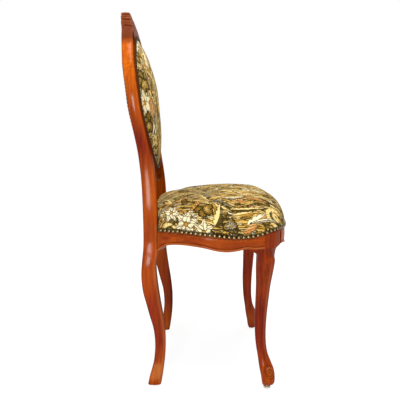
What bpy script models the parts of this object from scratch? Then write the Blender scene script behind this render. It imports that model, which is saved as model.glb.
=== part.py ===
"""Upholstered side chair with an oval back, cabriole legs and a bowed seat frame.

Metres, +Z up. The chair faces -Y, the floor is Z = 0 and the origin lies under the middle of its box.
Left and right are the sitter's: the right side is at -X.
"""
import math

import bmesh
import bpy
from mathutils import Matrix, Vector

# Fits
CLEARANCE = 0.0003

# Seat frame in plan, right half mirrored from these points: (x, y) from the rear post to the middle front
POST_INNER_X = 0.150
POST_OUTER_X = 0.1825
POST_FRONT_Y = 0.121
POST_REAR_Y = 0.153
SEAT_HALF_WIDTH = 0.232
SEAT_FRONT_Y = -0.222
PLAN_POINTS = (
    (POST_OUTER_X, POST_FRONT_Y),
    (POST_OUTER_X + 0.0255, POST_FRONT_Y - 0.051),
    (SEAT_HALF_WIDTH - 0.006, POST_FRONT_Y - 0.111),
    (SEAT_HALF_WIDTH, SEAT_FRONT_Y + 0.172),
    (SEAT_HALF_WIDTH - 0.001, SEAT_FRONT_Y + 0.122),
    (SEAT_HALF_WIDTH - 0.010, SEAT_FRONT_Y + 0.072),
    (SEAT_HALF_WIDTH - 0.037, SEAT_FRONT_Y + 0.044),
    (SEAT_HALF_WIDTH - 0.082, SEAT_FRONT_Y + 0.024),
    (SEAT_HALF_WIDTH - 0.152, SEAT_FRONT_Y + 0.006),
    (0.0, SEAT_FRONT_Y),
)
PLAN_STATIONS = (0.0, 0.03, 0.06, 0.12, 0.19, 0.26, 0.33, 0.40, 0.46, 0.51, 0.55,
                 0.58, 0.61, 0.64, 0.68, 0.73, 0.79, 0.86, 0.93, 1.0)

# Seat rails: heights follow the share of the way round from the rear post to the middle front
RAIL_TOP = 0.415
RAIL_THICKNESS = 0.026
RAIL_TOP_BEVEL = 0.008
RAIL_LOW_BEVEL = 0.002
RAIL_DEPTH_BELOW_TOP = (
    (0.0, 0.066), (0.04, 0.052), (0.09, 0.046), (0.14, 0.046), (0.23, 0.053), (0.335, 0.063),
    (0.42, 0.060), (0.48, 0.056), (0.56, 0.058), (0.66, 0.063), (0.80, 0.073), (1.0, 0.078),
)
NAIL_LINE_BELOW_TOP = (
    (0.0, 0.009), (0.11, 0.011), (0.23, 0.019), (0.345, 0.026), (0.42, 0.027), (0.50, 0.021),
    (0.575, 0.014), (0.66, 0.017), (0.80, 0.026), (1.0, 0.031),
)
REAR_RAIL_SETBACK = 0.004
REAR_RAIL_THICKNESS = 0.024
REAR_RAIL_HEIGHT = 0.055
REAR_NAIL_LINE_BELOW_TOP = 0.014
TENON_THICKNESS = 0.010
TENON_HEIGHT = 0.032
TENON_DROP = 0.024
TENON_FROM_FACE = 0.011
SIDE_TENON_LENGTH = 0.020
FRONT_TENON_LENGTH = 0.014
REAR_TENON_LENGTH = 0.011

# Front legs: the corner block's sides, then the leg below it at shares of the rail's height
LEG_BLOCK_WIDTH = 0.052
LEG_BLOCK_DEPTH = 0.097
FRONT_LEG_BLOCK_SHARE = 0.845
FRONT_LEG_ROUND_POWER = 0.8
FRONT_LEG_SIDES = (
    # share, then how far the inner, outer, front and rear sides lie from the block's, then roundness
    (0.010, 0.013, -0.016, 0.055, -0.0205, 1.0),
    (0.030, 0.011, -0.013, 0.050, -0.0195, 1.0),
    (0.080, 0.009, -0.012, 0.0482, -0.0165, 1.0),
    (0.120, 0.007, -0.0145, 0.0506, -0.013, 1.0),
    (0.160, 0.004, -0.0195, 0.057, -0.0105, 1.0),
    (0.205, 0.001, -0.0245, 0.0645, -0.008, 1.0),
    (0.255, -0.001, -0.0275, 0.069, -0.0045, 1.0),
    (0.330, -0.0028, -0.029, 0.071, -0.0015, 0.9),
    (0.430, -0.0035, -0.0275, 0.070, 0.000, 0.8),
    (0.550, -0.0025, -0.023, 0.066, -0.001, 0.6),
    (0.650, -0.001, -0.0185, 0.062, -0.0015, 0.45),
    (0.740, 0.000, -0.014, 0.058, -0.0005, 0.3),
    (0.800, 0.000, -0.0095, 0.052, 0.000, 0.15),
)

# Rear legs: shares of the rail's height
REAR_LEG_FRONT = (
    (0.01, -0.0055), (0.055, -0.009), (0.12, -0.013), (0.19, -0.016), (0.25, -0.017), (0.33, -0.0164),
    (0.43, -0.012), (0.52, -0.006), (0.60, -0.001), (0.695, 0.0036), (0.765, 0.0050), (0.81, 0.0020),
    (0.84, 0.0), (0.90, 0.0), (1.0, 0.0),
)
REAR_LEG_REAR = (
    (0.01, -0.0068), (0.04, -0.0095), (0.09, -0.0152), (0.155, -0.0207), (0.25, -0.0225), (0.35, -0.019),
    (0.445, -0.0106), (0.52, -0.0034), (0.60, 0.005), (0.695, 0.0095), (0.78, 0.0077), (0.85, 0.0035),
    (0.91, 0.001), (1.0, 0.0),
)
REAR_LEG_LATERAL = (
    # share, outward shift of the inner side, outward shift of the outer side
    (0.01, 0.0235, 0.0185), (0.25, 0.0205, 0.0145), (0.45, 0.016, 0.011), (0.60, 0.0105, 0.008),
    (0.75, 0.004, 0.004), (0.86, 0.0, 0.0), (1.0, 0.0, 0.0),
)
LEG_EDGE_ROUND = 0.006
LEG_SECTIONS_BELOW = 24
POST_SECTIONS = 20

# Oval back: the ring's outer half sizes, its face and depth, and the joints between its pieces
OVAL_RISE = 0.308
OVAL_HALF_WIDTH = 0.184
OVAL_HALF_HEIGHT = 0.213
RING_FACE = 0.035
RING_DEPTH = 0.030
RING_EDGE_ROUND = 0.007
REBATE_WIDTH = 0.012
FRONT_REBATE = 0.008
REAR_REBATE = 0.005
CREST_JOINT_RISE = 0.080
LOWER_JOINT_INSET = 0.066
POST_WAIST = 0.005
POST_NECK_RISE = 0.085
CREST_CARVING_RISE = 0.028
CREST_CARVING_ANGLE = math.radians(31)
CREST_LOBES = 3
CREST_LOBE_SHARE = 0.12
BACK_LINE = (
    # rise above the rail, distance of the ring's middle behind the middle of the post
    (-0.05, 0.0), (0.0, 0.0), (0.09, 0.0026), (0.164, 0.0108), (0.232, 0.0235), (0.289, 0.0352),
    (0.332, 0.042), (0.38, 0.0475), (0.425, 0.052), (0.46, 0.0565), (0.50, 0.0635), (0.56, 0.0765),
)
OVAL_SIDES = 36
OVAL_RINGS = (0.12, 0.45, 0.78, 1.0)

# Dowels in the ring's joints
DOWEL_DIAMETER = 0.008
DOWEL_LENGTH = 0.036
CREST_DOWEL_SPACING = 0.018
LOWER_DOWEL_SPACING = 0.020
DOWEL_SIDES = 10

# Corner blocks and their screws
BLOCK_TOP_BELOW_RAIL = 0.012
BLOCK_HEIGHT = 0.026
FRONT_BLOCK_REACH = 0.055
REAR_BLOCK_REACH = 0.055
SCREW_SHANK = 0.004
SCREW_HEAD = 0.008
SCREW_HEAD_HEIGHT = 0.003
SCREW_CROWN_SHARE = 0.7
SCREW_POINT_SHARE = 0.4
SCREW_TAPER_SHARE = 0.3
SCREW_PLACE_SHARE = 0.5
COUNTERBORE_REACH = 0.025
SCREW_IN_BLOCK = 0.010
SCREW_IN_RAIL = 0.014
SCREW_SIDES = 8

# Foot glides
GLIDE_DIAMETER = 0.018
GLIDE_THICKNESS = 0.004
GLIDE_PIN = 0.003
GLIDE_PIN_LENGTH = 0.012
GLIDE_SOLE_SHARE = 0.84
GLIDE_EDGE_SHARE = 0.35
GLIDE_SIDES = 16

# Seat upholstery
WEB_WIDTH = 0.050
WEB_THICKNESS = 0.002
WEB_ALONG_X = (-0.095, 0.0, 0.095)
WEB_ACROSS_Y = (-0.125, -0.040, 0.045)
WEB_LAP_ON_RAIL = 0.014
WEB_RAMP = 0.012
HESSIAN_THICKNESS = 0.001
HESSIAN_INSET = 0.012
COVER_THICKNESS = 0.002
STUFFING_EASE = 0.001
CROWN_RISE = 0.086
CROWN_Y = -0.064
COVER_EDGE_ABOVE_NAILS = 0.007
COVER_BELOW_NAILS = 0.003
FRONT_FULLNESS = 1.9
SIDE_FULLNESS = 2.5
REAR_FULLNESS = 3.2
DOME_RINGS = 7
DOME_CAP_ANGLE = math.radians(3.6)
NOTCH_EASE = 0.030
NAIL_HEAD = 0.010
NAIL_RISE = 0.0035
NAIL_STRIP_BACK = 0.0006
NAIL_SHOULDER_RISE = 0.75
NAIL_SHOULDER_WIDTH = 0.7
DUST_COVER_THICKNESS = 0.001

# Back upholstery
BACK_CROWN = 0.0345
BACK_CROWN_RISE = 0.032
BACK_HESSIAN_THICKNESS = 0.0015
PAD_MARGIN = 0.002
BACK_COVER_THICKNESS = 0.002
TRIM_WIDTH = 0.007
TRIM_RISE = 0.004
TRIM_SHOULDER_RISE = 0.75
TRIM_SHOULDER_INSET = 0.15
OUTSIDE_BACK_THICKNESS = 0.003
OUTSIDE_BACK_CROWN = 0.003

# Finishes: colour, roughness, metallic
CHERRY = ((0.45, 0.11, 0.01, 1.0), 0.28, 0.0)
BEECH = ((0.62, 0.44, 0.26, 1.0), 0.60, 0.0)
TAPESTRY = ((0.52, 0.42, 0.22, 1.0), 0.90, 0.0)
BRONZE = ((0.22, 0.14, 0.06, 1.0), 0.35, 1.0)
STEEL = ((0.60, 0.60, 0.60, 1.0), 0.35, 1.0)
JUTE = ((0.45, 0.33, 0.17, 1.0), 0.95, 0.0)
HORSEHAIR = ((0.28, 0.22, 0.16, 1.0), 0.95, 0.0)
CAMBRIC = ((0.03, 0.03, 0.03, 1.0), 0.90, 0.0)
NYLON = ((0.80, 0.77, 0.70, 1.0), 0.50, 0.0)

LEG_INNER_X = SEAT_HALF_WIDTH - LEG_BLOCK_WIDTH
LEG_REAR_Y = SEAT_FRONT_Y + LEG_BLOCK_DEPTH
CROWN_HEIGHT = RAIL_TOP + CROWN_RISE
OVAL_CENTRE_Z = RAIL_TOP + OVAL_RISE
LOWER_JOINT_X = OVAL_HALF_WIDTH - LOWER_JOINT_INSET
CREST_JOINT_Z = OVAL_CENTRE_Z + CREST_JOINT_RISE
POST_MIDDLE_Y = (POST_FRONT_Y + POST_REAR_Y) / 2
PANEL_HALF_WIDTH = OVAL_HALF_WIDTH - RING_FACE
PANEL_HALF_HEIGHT = OVAL_HALF_HEIGHT - RING_FACE
OPENING_HALF_WIDTH = PANEL_HALF_WIDTH - REBATE_WIDTH
OPENING_HALF_HEIGHT = PANEL_HALF_HEIGHT - REBATE_WIDTH
FOOT_Z = GLIDE_THICKNESS + CLEARANCE
REAR_RAIL_REAR_Y = POST_REAR_Y - REAR_RAIL_SETBACK
REAR_RAIL_FRONT_Y = REAR_RAIL_REAR_Y - REAR_RAIL_THICKNESS
TENON_MIDDLE_Z = RAIL_TOP - TENON_DROP - TENON_HEIGHT / 2
SIDES = (("left", 1.0), ("right", -1.0))


# Helpers
def smooth(points, place, column=1):
    """Value at a place on the smooth curve through points whose first column rises."""
    last = len(points) - 1
    index = 0
    while index < last - 1 and place > points[index + 1][0]:
        index += 1
    start, end = points[index], points[index + 1]
    before = points[max(index - 1, 0)]
    after = points[min(index + 2, last)]
    span = end[0] - start[0]
    share = min(max((place - start[0]) / span, 0.0), 1.0)
    slope_in = (end[column] - before[column]) / (end[0] - before[0]) * span
    slope_out = (after[column] - start[column]) / (after[0] - start[0]) * span
    square, cube = share ** 2, share ** 3
    return (start[column] * (2 * cube - 3 * square + 1) + slope_in * (cube - 2 * square + share)
            + end[column] * (3 * square - 2 * cube) + slope_out * (cube - square))


def finish_material(name, finish):
    colour, roughness, metallic = finish
    material = bpy.data.materials.new(name)
    material.use_nodes = True
    shader = material.node_tree.nodes["Principled BSDF"]
    shader.inputs["Base Color"].default_value = colour
    shader.inputs["Roughness"].default_value = roughness
    shader.inputs["Metallic"].default_value = metallic
    material.diffuse_color = colour
    return material


def new_object(name, bm, finish=None):
    """Object from a bmesh; without a finish it is a hidden cutter."""
    bmesh.ops.recalc_face_normals(bm, faces=bm.faces)
    mesh = bpy.data.meshes.new(name)
    bm.to_mesh(mesh)
    bm.free()
    made = bpy.data.objects.new(name, mesh)
    bpy.context.scene.collection.objects.link(made)
    if finish is None:
        made.hide_render = True
        made.display_type = "WIRE"
    else:
        mesh.materials.append(finish_material(name + "_finish", finish))
        mesh.shade_smooth()
        mesh.set_sharp_from_angle(angle=math.radians(35))
        made.parent = chair
    return made


def loft(bm, sections, closed=False):
    """Extrude a face through a row of sections with as many points each."""
    verts = [bm.verts.new(point) for point in sections[0]]
    cap = bm.faces.new(verts)
    first_edges = list(cap.edges)
    for section in sections[1:]:
        places = {tuple(vert.co): index for index, vert in enumerate(verts)}
        grown = bmesh.ops.extrude_face_region(bm, geom=[cap, *cap.edges, *cap.verts])["geom"]
        cap = [part for part in grown if isinstance(part, bmesh.types.BMFace)][0]
        row = [None] * len(verts)
        for vert in cap.verts:
            row[places[tuple(vert.co)]] = vert
        for vert, point in zip(row, section):
            vert.co = point
        verts = row
    if closed:
        last_edges = list(cap.edges)
        ends = [face for face in bm.faces if len(face.verts) == len(verts) and len(verts) > 4]
        bmesh.ops.delete(bm, geom=ends, context="FACES_ONLY")
        bmesh.ops.bridge_loops(bm, edges=first_edges + last_edges)
    return bm


def lofted(name, sections, finish=None, closed=False):
    return new_object(name, loft(bmesh.new(), sections, closed), finish)


def keep_below(bm, point, normal):
    """Cut a body at a plane, drop what lies ahead of the normal and close it."""
    geom = list(bm.verts) + list(bm.edges) + list(bm.faces)
    cut = bmesh.ops.bisect_plane(bm, geom=geom, plane_co=point, plane_no=normal, clear_outer=True)
    edges = [part for part in cut["geom_cut"] if isinstance(part, bmesh.types.BMEdge)]
    bmesh.ops.contextual_create(bm, geom=edges)


def boolean(target, cutter, operation):
    modifier = target.modifiers.new(cutter.name, "BOOLEAN")
    modifier.operation = operation
    modifier.solver = "EXACT"
    modifier.object = cutter


def add_box(bm, low, high):
    size = Vector(high) - Vector(low)
    middle = (Vector(high) + Vector(low)) / 2
    matrix = Matrix.Translation(middle) @ Matrix.Diagonal((*size, 1.0))
    bmesh.ops.create_cube(bm, size=1.0, matrix=matrix)


def add_rod(bm, start, end, diameter, sides):
    start, end = Vector(start), Vector(end)
    along = end - start
    turn = along.to_track_quat("Z", "X").to_matrix().to_4x4()
    matrix = Matrix.Translation((start + end) / 2) @ turn
    bmesh.ops.create_cone(bm, cap_ends=True, segments=sides, radius1=diameter / 2,
                          radius2=diameter / 2, depth=along.length, matrix=matrix)


def turned_sections(start, way, profile, sides):
    """Rings round a level or upright axis, from a profile of (distance along it, diameter)."""
    start, way = Vector(start), Vector(way)
    across = way.orthogonal().normalized()
    over = way.cross(across)
    sections = []
    for along, diameter in profile:
        ring = []
        for step in range(sides):
            angle = 2 * math.pi * (step + 0.5) / sides
            turn = across * math.cos(angle) + over * math.sin(angle)
            ring.append(tuple(start + way * along + turn * diameter / 2))
        sections.append(ring)
    return sections


def mirrored(points):
    return [(-point[0], *point[1:]) for point in points]


def side_points(points, side):
    return list(points) if side > 0 else mirrored(points)


# Plan of the seat frame
def plan_curve():
    """Plan points of the right half at the stations, from the rear post to the middle front."""
    lengths = [0.0]
    for near, far in zip(PLAN_POINTS, PLAN_POINTS[1:]):
        lengths.append(lengths[-1] + math.dist(near, far))
    spread = [(length / lengths[-1], *point) for length, point in zip(lengths, PLAN_POINTS)]
    return [Vector((smooth(spread, share, 1), smooth(spread, share, 2))) for share in PLAN_STATIONS]


def offset_line(points, distance):
    """Points of an open line moved to its left by a distance, with every stretch kept parallel."""
    moved = []
    for index, point in enumerate(points):
        before = points[max(index - 1, 0)]
        after = points[min(index + 1, len(points) - 1)]
        first = (point - before) if index else (after - point)
        second = (after - point) if index < len(points) - 1 else first
        first, second = first.normalized(), second.normalized()
        normal = Vector((-first.y, first.x))
        other = Vector((-second.y, second.x))
        middle = (normal + other).normalized()
        moved.append(point + middle * (distance / middle.dot(normal)))
    return moved


def inset_loop(points, distance):
    """Points of a closed loop moved inwards, for a loop that runs clockwise seen from above."""
    wrapped = [points[-1]] + list(points) + [points[0]]
    return offset_line(wrapped, -distance)[1:-1]


def crossing(points, axis, value):
    """Point where a line first crosses a coordinate."""
    for near, far in zip(points, points[1:]):
        low, high = sorted((near[axis], far[axis]))
        if low <= value <= high and low != high:
            return near.lerp(far, (value - near[axis]) / (far[axis] - near[axis]))
    raise ValueError("the line never reaches that coordinate")


PLAN = plan_curve()
PLAN_INNER = offset_line(PLAN, -RAIL_THICKNESS)
PLAN_WIDEST = max(range(len(PLAN)), key=lambda index: PLAN[index].x)
PLAN_FRONT = PLAN[PLAN_WIDEST:]


def rail_sections(stations):
    """Rail sections at stations given as (outer point, inner point, share)."""
    sections = []
    for outer, inner, share in stations:
        low = RAIL_TOP - smooth(RAIL_DEPTH_BELOW_TOP, share)
        inward = (inner - outer).normalized()
        shoulder = outer + inward * RAIL_TOP_BEVEL
        toe = outer + inward * RAIL_LOW_BEVEL
        sections.append([
            (*toe, low), (*outer, low + RAIL_LOW_BEVEL), (*outer, RAIL_TOP - RAIL_TOP_BEVEL),
            (*shoulder, RAIL_TOP), (*inner, RAIL_TOP), (*inner, low),
        ])
    return sections


def half_stations():
    return list(zip(PLAN, PLAN_INNER, PLAN_STATIONS))


def first_past_leg():
    """Station of the plan that is the first on the front rail."""
    return next(index for index, point in enumerate(PLAN) if index > PLAN_WIDEST and point.x < LEG_INNER_X)


# Tenons and their mortises
def side_tenon(end, grow=0.0):
    """Corners of the side rail's tenon at an end, for the side at +X."""
    if end == "rear":
        outer = crossing(PLAN, 1, POST_FRONT_Y - CLEARANCE)
        middle = outer.x - TENON_FROM_FACE - TENON_THICKNESS / 2
        low_y, high_y = POST_FRONT_Y - SIDE_TENON_LENGTH / 2, POST_FRONT_Y + SIDE_TENON_LENGTH
    else:
        outer = crossing(PLAN, 1, LEG_REAR_Y + CLEARANCE)
        middle = outer.x - TENON_FROM_FACE - TENON_THICKNESS / 2
        low_y, high_y = LEG_REAR_Y - SIDE_TENON_LENGTH, LEG_REAR_Y + SIDE_TENON_LENGTH / 2
    half = TENON_THICKNESS / 2 + grow
    rise = TENON_HEIGHT / 2 + grow
    return ((middle - half, low_y - grow, TENON_MIDDLE_Z - rise),
            (middle + half, high_y + grow, TENON_MIDDLE_Z + rise))


def front_tenon(grow=0.0):
    outer = crossing(PLAN_FRONT, 0, LEG_INNER_X - CLEARANCE)
    middle = outer.y + TENON_FROM_FACE + TENON_THICKNESS / 2
    half = TENON_THICKNESS / 2 + grow
    rise = TENON_HEIGHT / 2 + grow
    return ((LEG_INNER_X - FRONT_TENON_LENGTH / 2 - grow, middle - half, TENON_MIDDLE_Z - rise),
            (LEG_INNER_X + FRONT_TENON_LENGTH + grow, middle + half, TENON_MIDDLE_Z + rise))


def rear_tenon(grow=0.0):
    middle = (REAR_RAIL_FRONT_Y + REAR_RAIL_REAR_Y) / 2
    half = TENON_THICKNESS / 2 + grow
    rise = TENON_HEIGHT / 2 + grow
    return ((POST_INNER_X - REAR_TENON_LENGTH / 2 - grow, middle - half, TENON_MIDDLE_Z - rise),
            (POST_INNER_X + REAR_TENON_LENGTH + grow, middle + half, TENON_MIDDLE_Z + rise))


def box_on_side(bm, corners, side):
    low, high = corners
    if side < 0:
        low, high = (-high[0], *low[1:]), (-low[0], *high[1:])
    add_box(bm, low, high)


# Back line and oval
def back_y(z):
    """Middle of the back frame's depth at a height."""
    return POST_MIDDLE_Y + smooth(BACK_LINE, z - RAIL_TOP)


def back_point(x, z, depth):
    return (x, back_y(z) + depth, z)


def oval_angle_point(half_width, half_height, angle):
    return half_width * math.cos(angle), OVAL_CENTRE_Z + half_height * math.sin(angle)


def oval_loop(inset, depth, share=1.0, centre_rise=0.0):
    """Loop of the panel's oval, drawn in by an inset and shrunk by a share towards a centre."""
    loop = []
    centre_z = OVAL_CENTRE_Z + centre_rise
    for step in range(OVAL_SIDES):
        angle = 2 * math.pi * step / OVAL_SIDES
        x, z = oval_angle_point(PANEL_HALF_WIDTH - inset, PANEL_HALF_HEIGHT - inset, angle)
        loop.append(back_point(x * share, centre_z + (z - centre_z) * share, depth))
    return loop


def oval_plate_sections(inset, front, rear):
    rear_side = [oval_loop(inset, rear, share) for share in OVAL_RINGS]
    front_side = [oval_loop(inset, front, share) for share in reversed(OVAL_RINGS)]
    return rear_side + front_side


def opening_x(z):
    """Half width of the ring's through opening at a height."""
    rise = (z - OVAL_CENTRE_Z) / OPENING_HALF_HEIGHT
    return OPENING_HALF_WIDTH * math.sqrt(max(1.0 - rise ** 2, 0.0))


def ring_outer_x(z):
    rise = (z - OVAL_CENTRE_Z) / OVAL_HALF_HEIGHT
    return OVAL_HALF_WIDTH * math.sqrt(max(1.0 - rise ** 2, 0.0))


def oval_drop(half_width, half_height, x):
    """How far below its centre an oval lies at a distance from the middle."""
    return half_height * math.sqrt(1.0 - (x / half_width) ** 2)


FRONT_FACE = -RING_DEPTH / 2
REAR_FACE = RING_DEPTH / 2
FRONT_REBATE_FLOOR = FRONT_FACE + FRONT_REBATE
REAR_REBATE_FLOOR = REAR_FACE - REAR_REBATE
LOWER_JOINT_TOP = OVAL_CENTRE_Z - oval_drop(OPENING_HALF_WIDTH, OPENING_HALF_HEIGHT, LOWER_JOINT_X)
LOWER_JOINT_FOOT = OVAL_CENTRE_Z - oval_drop(OVAL_HALF_WIDTH, OVAL_HALF_HEIGHT, LOWER_JOINT_X)
LOWER_JOINT_MIDDLE = (LOWER_JOINT_TOP + LOWER_JOINT_FOOT) / 2
CREST_JOINT_MIDDLE_X = (opening_x(CREST_JOINT_Z) + ring_outer_x(CREST_JOINT_Z)) / 2
REBATE_OVERCUT = 0.05


def rebate_cutters(bm):
    """Oval recesses in the ring's front and rear faces."""
    loft(bm, oval_plate_sections(0.0, FRONT_FACE - REBATE_OVERCUT, FRONT_REBATE_FLOOR))
    loft(bm, oval_plate_sections(0.0, REAR_REBATE_FLOOR, REAR_FACE + REBATE_OVERCUT))


def dowel_ends(joint, side):
    """Two dowels as (start, end) in a joint of the ring."""
    ends = []
    half = DOWEL_LENGTH / 2
    for step in (-0.5, 0.5):
        if joint == "crest":
            x = side * (CREST_JOINT_MIDDLE_X + step * CREST_DOWEL_SPACING)
            y = back_y(CREST_JOINT_Z)
            ends.append(((x, y, CREST_JOINT_Z - half), (x, y, CREST_JOINT_Z + half)))
        else:
            z = LOWER_JOINT_MIDDLE + step * LOWER_DOWEL_SPACING
            y = back_y(z)
            ends.append(((side * (LOWER_JOINT_X - half), y, z), (side * (LOWER_JOINT_X + half), y, z)))
    return ends


def dowel_holes(bm, joint, side):
    for start, end in dowel_ends(joint, side):
        reach = (Vector(end) - Vector(start)).normalized() * CLEARANCE
        add_rod(bm, Vector(start) - reach, Vector(end) + reach, DOWEL_DIAMETER + 2 * CLEARANCE, DOWEL_SIDES)


# Rear legs with the posts and the sides of the oval
def rounded_section(inner_x, outer_x, front_y, rear_y, z, edge):
    """Rectangle with three points round each corner."""
    cut = edge * (1 - math.sqrt(0.5))
    corners = (
        (inner_x, rear_y, 1, -1), (outer_x, rear_y, -1, -1), (outer_x, front_y, -1, 1), (inner_x, front_y, 1, 1),
    )
    points = []
    for index, (x, y, to_x, to_y) in enumerate(corners):
        along_y = (x, y + to_y * edge, z)
        along_x = (x + to_x * edge, y, z)
        middle = (x + to_x * cut, y + to_y * cut, z)
        row = [along_y, middle, along_x]
        points += row if index % 2 == 0 else row[::-1]
    return points


def post_inner_x(z):
    """Inner side of the post: neck above the seat, hip for the lower rail, then the oval opening."""
    neck = RAIL_TOP + POST_NECK_RISE
    if z <= neck:
        return POST_INNER_X
    if z < LOWER_JOINT_FOOT:
        share = (z - neck) / (LOWER_JOINT_FOOT - neck)
        return POST_INNER_X + (LOWER_JOINT_X - POST_INNER_X) * share ** 2
    if z <= LOWER_JOINT_TOP:
        return LOWER_JOINT_X
    return opening_x(z)


def post_outer_x(z):
    if z >= OVAL_CENTRE_Z:
        return ring_outer_x(z)
    share = (z - RAIL_TOP) / OVAL_RISE
    waist = POST_WAIST * math.sin(math.pi * share) ** 2
    return POST_OUTER_X + (OVAL_HALF_WIDTH - POST_OUTER_X) * share - waist


def post_depth(z):
    share = min((z - RAIL_TOP) / OVAL_RISE, 1.0)
    return (POST_REAR_Y - POST_FRONT_Y) * (1 - share) + RING_DEPTH * share


def rear_leg_sections():
    sections = []
    foot_share = FOOT_Z / RAIL_TOP
    for step in range(LEG_SECTIONS_BELOW + 1):
        share = foot_share + (1 - foot_share) * step / LEG_SECTIONS_BELOW
        front = POST_FRONT_Y + smooth(REAR_LEG_FRONT, share)
        rear = POST_REAR_Y + smooth(REAR_LEG_REAR, share)
        if share > REAR_LEG_FRONT[-3][0]:
            front = POST_FRONT_Y
        inner = POST_INNER_X + max(smooth(REAR_LEG_LATERAL, share, 1), 0.0)
        outer = POST_OUTER_X + max(smooth(REAR_LEG_LATERAL, share, 2), 0.0)
        sections.append(rounded_section(inner, outer, front, rear, share * RAIL_TOP, LEG_EDGE_ROUND))
    top = CREST_JOINT_Z - CLEARANCE / 2
    heights = [RAIL_TOP + (top - RAIL_TOP) * step / POST_SECTIONS for step in range(1, POST_SECTIONS + 1)]
    for fixed in (LOWER_JOINT_FOOT, LOWER_JOINT_TOP):
        nearest = min(range(len(heights) - 1), key=lambda index: abs(heights[index] - fixed))
        heights[nearest] = fixed
    for z in heights:
        middle, half = back_y(z), post_depth(z) / 2
        section = rounded_section(post_inner_x(z), post_outer_x(z), middle - half, middle + half, z, LEG_EDGE_ROUND)
        sections.append(section)
    return sections


def foot_middle(leg):
    """Middle of a foot's underside, for the side at +X."""
    sections = rear_leg_sections() if leg == "rear" else front_leg_sections()
    foot = sections[0]
    xs = [point[0] for point in foot]
    ys = [point[1] for point in foot]
    return (min(xs) + max(xs)) / 2, (min(ys) + max(ys)) / 2


def glide_hole(bm, leg, side):
    x, y = foot_middle(leg)
    top = FOOT_Z + GLIDE_PIN_LENGTH + CLEARANCE
    add_rod(bm, (side * x, y, 0.0), (side * x, y, top), GLIDE_PIN + 2 * CLEARANCE, GLIDE_SIDES // 2)


def make_rear_leg(name, side):
    sections = [side_points(section, side) for section in rear_leg_sections()]
    leg = lofted("rear_leg_" + name, sections, CHERRY)
    bm = bmesh.new()
    rebate_cutters(bm)
    box_on_side(bm, side_tenon("rear", CLEARANCE), side)
    box_on_side(bm, rear_tenon(CLEARANCE), side)
    dowel_holes(bm, "crest", side)
    dowel_holes(bm, "lower", side)
    glide_hole(bm, "rear", side)
    boolean(leg, new_object("rear_leg_cuts_" + name, bm), "DIFFERENCE")


# Front legs
def block_outline():
    """Corner block of the front leg in plan, clockwise from its rear outer corner, for the side at +X."""
    start = crossing(PLAN, 1, LEG_REAR_Y)
    end = crossing(PLAN_FRONT, 0, LEG_INNER_X)
    between = [point for point in PLAN if point.y < start.y and point.x > end.x]
    inner = Vector((LEG_INNER_X, LEG_REAR_Y))
    corners = [start] + between + [end, end.lerp(inner, 0.5), inner, inner.lerp(start, 0.5)]
    return corners


def front_leg_sections():
    """Sections from the foot to the top: the block's plan, eased into a rounder leg below it."""
    outline = block_outline()
    xs = [point.x for point in outline]
    ys = [point.y for point in outline]
    middle = Vector(((min(xs) + max(xs)) / 2, (min(ys) + max(ys)) / 2))
    half = Vector(((max(xs) - min(xs)) / 2, (max(ys) - min(ys)) / 2))
    sections = []
    for share, to_inner, to_outer, to_front, to_rear, roundness in FRONT_LEG_SIDES:
        inner_x, outer_x = LEG_INNER_X + to_inner, SEAT_HALF_WIDTH + to_outer
        front_y, rear_y = SEAT_FRONT_Y + to_front, LEG_REAR_Y + to_rear
        z = FOOT_Z + (RAIL_TOP - FOOT_Z) * (share - FRONT_LEG_SIDES[0][0])
        section = []
        for point in outline:
            square = Vector(((point.x - middle.x) / half.x, (point.y - middle.y) / half.y))
            angle = math.atan2(square.y, square.x)
            round_point = Vector((math.copysign(abs(math.cos(angle)) ** FRONT_LEG_ROUND_POWER, math.cos(angle)),
                                  math.copysign(abs(math.sin(angle)) ** FRONT_LEG_ROUND_POWER, math.sin(angle))))
            mixed = square.lerp(round_point, roundness)
            x = (inner_x + outer_x) / 2 + mixed.x * (outer_x - inner_x) / 2
            y = (front_y + rear_y) / 2 + mixed.y * (rear_y - front_y) / 2
            section.append((x, y, z))
        sections.append(section)
    for z in (FRONT_LEG_BLOCK_SHARE * RAIL_TOP, RAIL_TOP - RAIL_TOP_BEVEL):
        sections.append([(*point, z) for point in outline])
    inner = Vector((LEG_INNER_X, LEG_REAR_Y))
    outer_count = len(outline) - 3
    top = [point + (inner - point).normalized() * RAIL_TOP_BEVEL for point in outline[:outer_count]]
    sections.append([(*point, RAIL_TOP) for point in top + outline[outer_count:]])
    return sections


def make_front_leg(name, side):
    sections = [side_points(section, side) for section in front_leg_sections()]
    leg = lofted("front_leg_" + name, sections, CHERRY)
    bm = bmesh.new()
    box_on_side(bm, side_tenon("front", CLEARANCE), side)
    box_on_side(bm, front_tenon(CLEARANCE), side)
    glide_hole(bm, "front", side)
    boolean(leg, new_object("front_leg_cuts_" + name, bm), "DIFFERENCE")


# Seat rails
def make_side_rail(name, side):
    stations = half_stations()
    lead = (2 * PLAN[0] - PLAN[1], 2 * PLAN_INNER[0] - PLAN_INNER[1], 0.0)
    last = next(index for index, point in enumerate(PLAN) if point.y < LEG_REAR_Y)
    sections = rail_sections([lead] + stations[:last + 2])
    bm = loft(bmesh.new(), [side_points(section, side) for section in sections])
    keep_below(bm, (0.0, POST_FRONT_Y - CLEARANCE, 0.0), (0.0, 1.0, 0.0))
    keep_below(bm, (0.0, LEG_REAR_Y + CLEARANCE, 0.0), (0.0, -1.0, 0.0))
    rail = new_object("side_rail_" + name, bm, CHERRY)
    tenons = bmesh.new()
    box_on_side(tenons, side_tenon("rear"), side)
    box_on_side(tenons, side_tenon("front"), side)
    boolean(rail, new_object("side_rail_tenons_" + name, tenons), "UNION")
    holes = bmesh.new()
    for block in ("front", "rear"):
        screw_holes(holes, block, "side", side)
    boolean(rail, new_object("side_rail_holes_" + name, holes), "DIFFERENCE")


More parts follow.
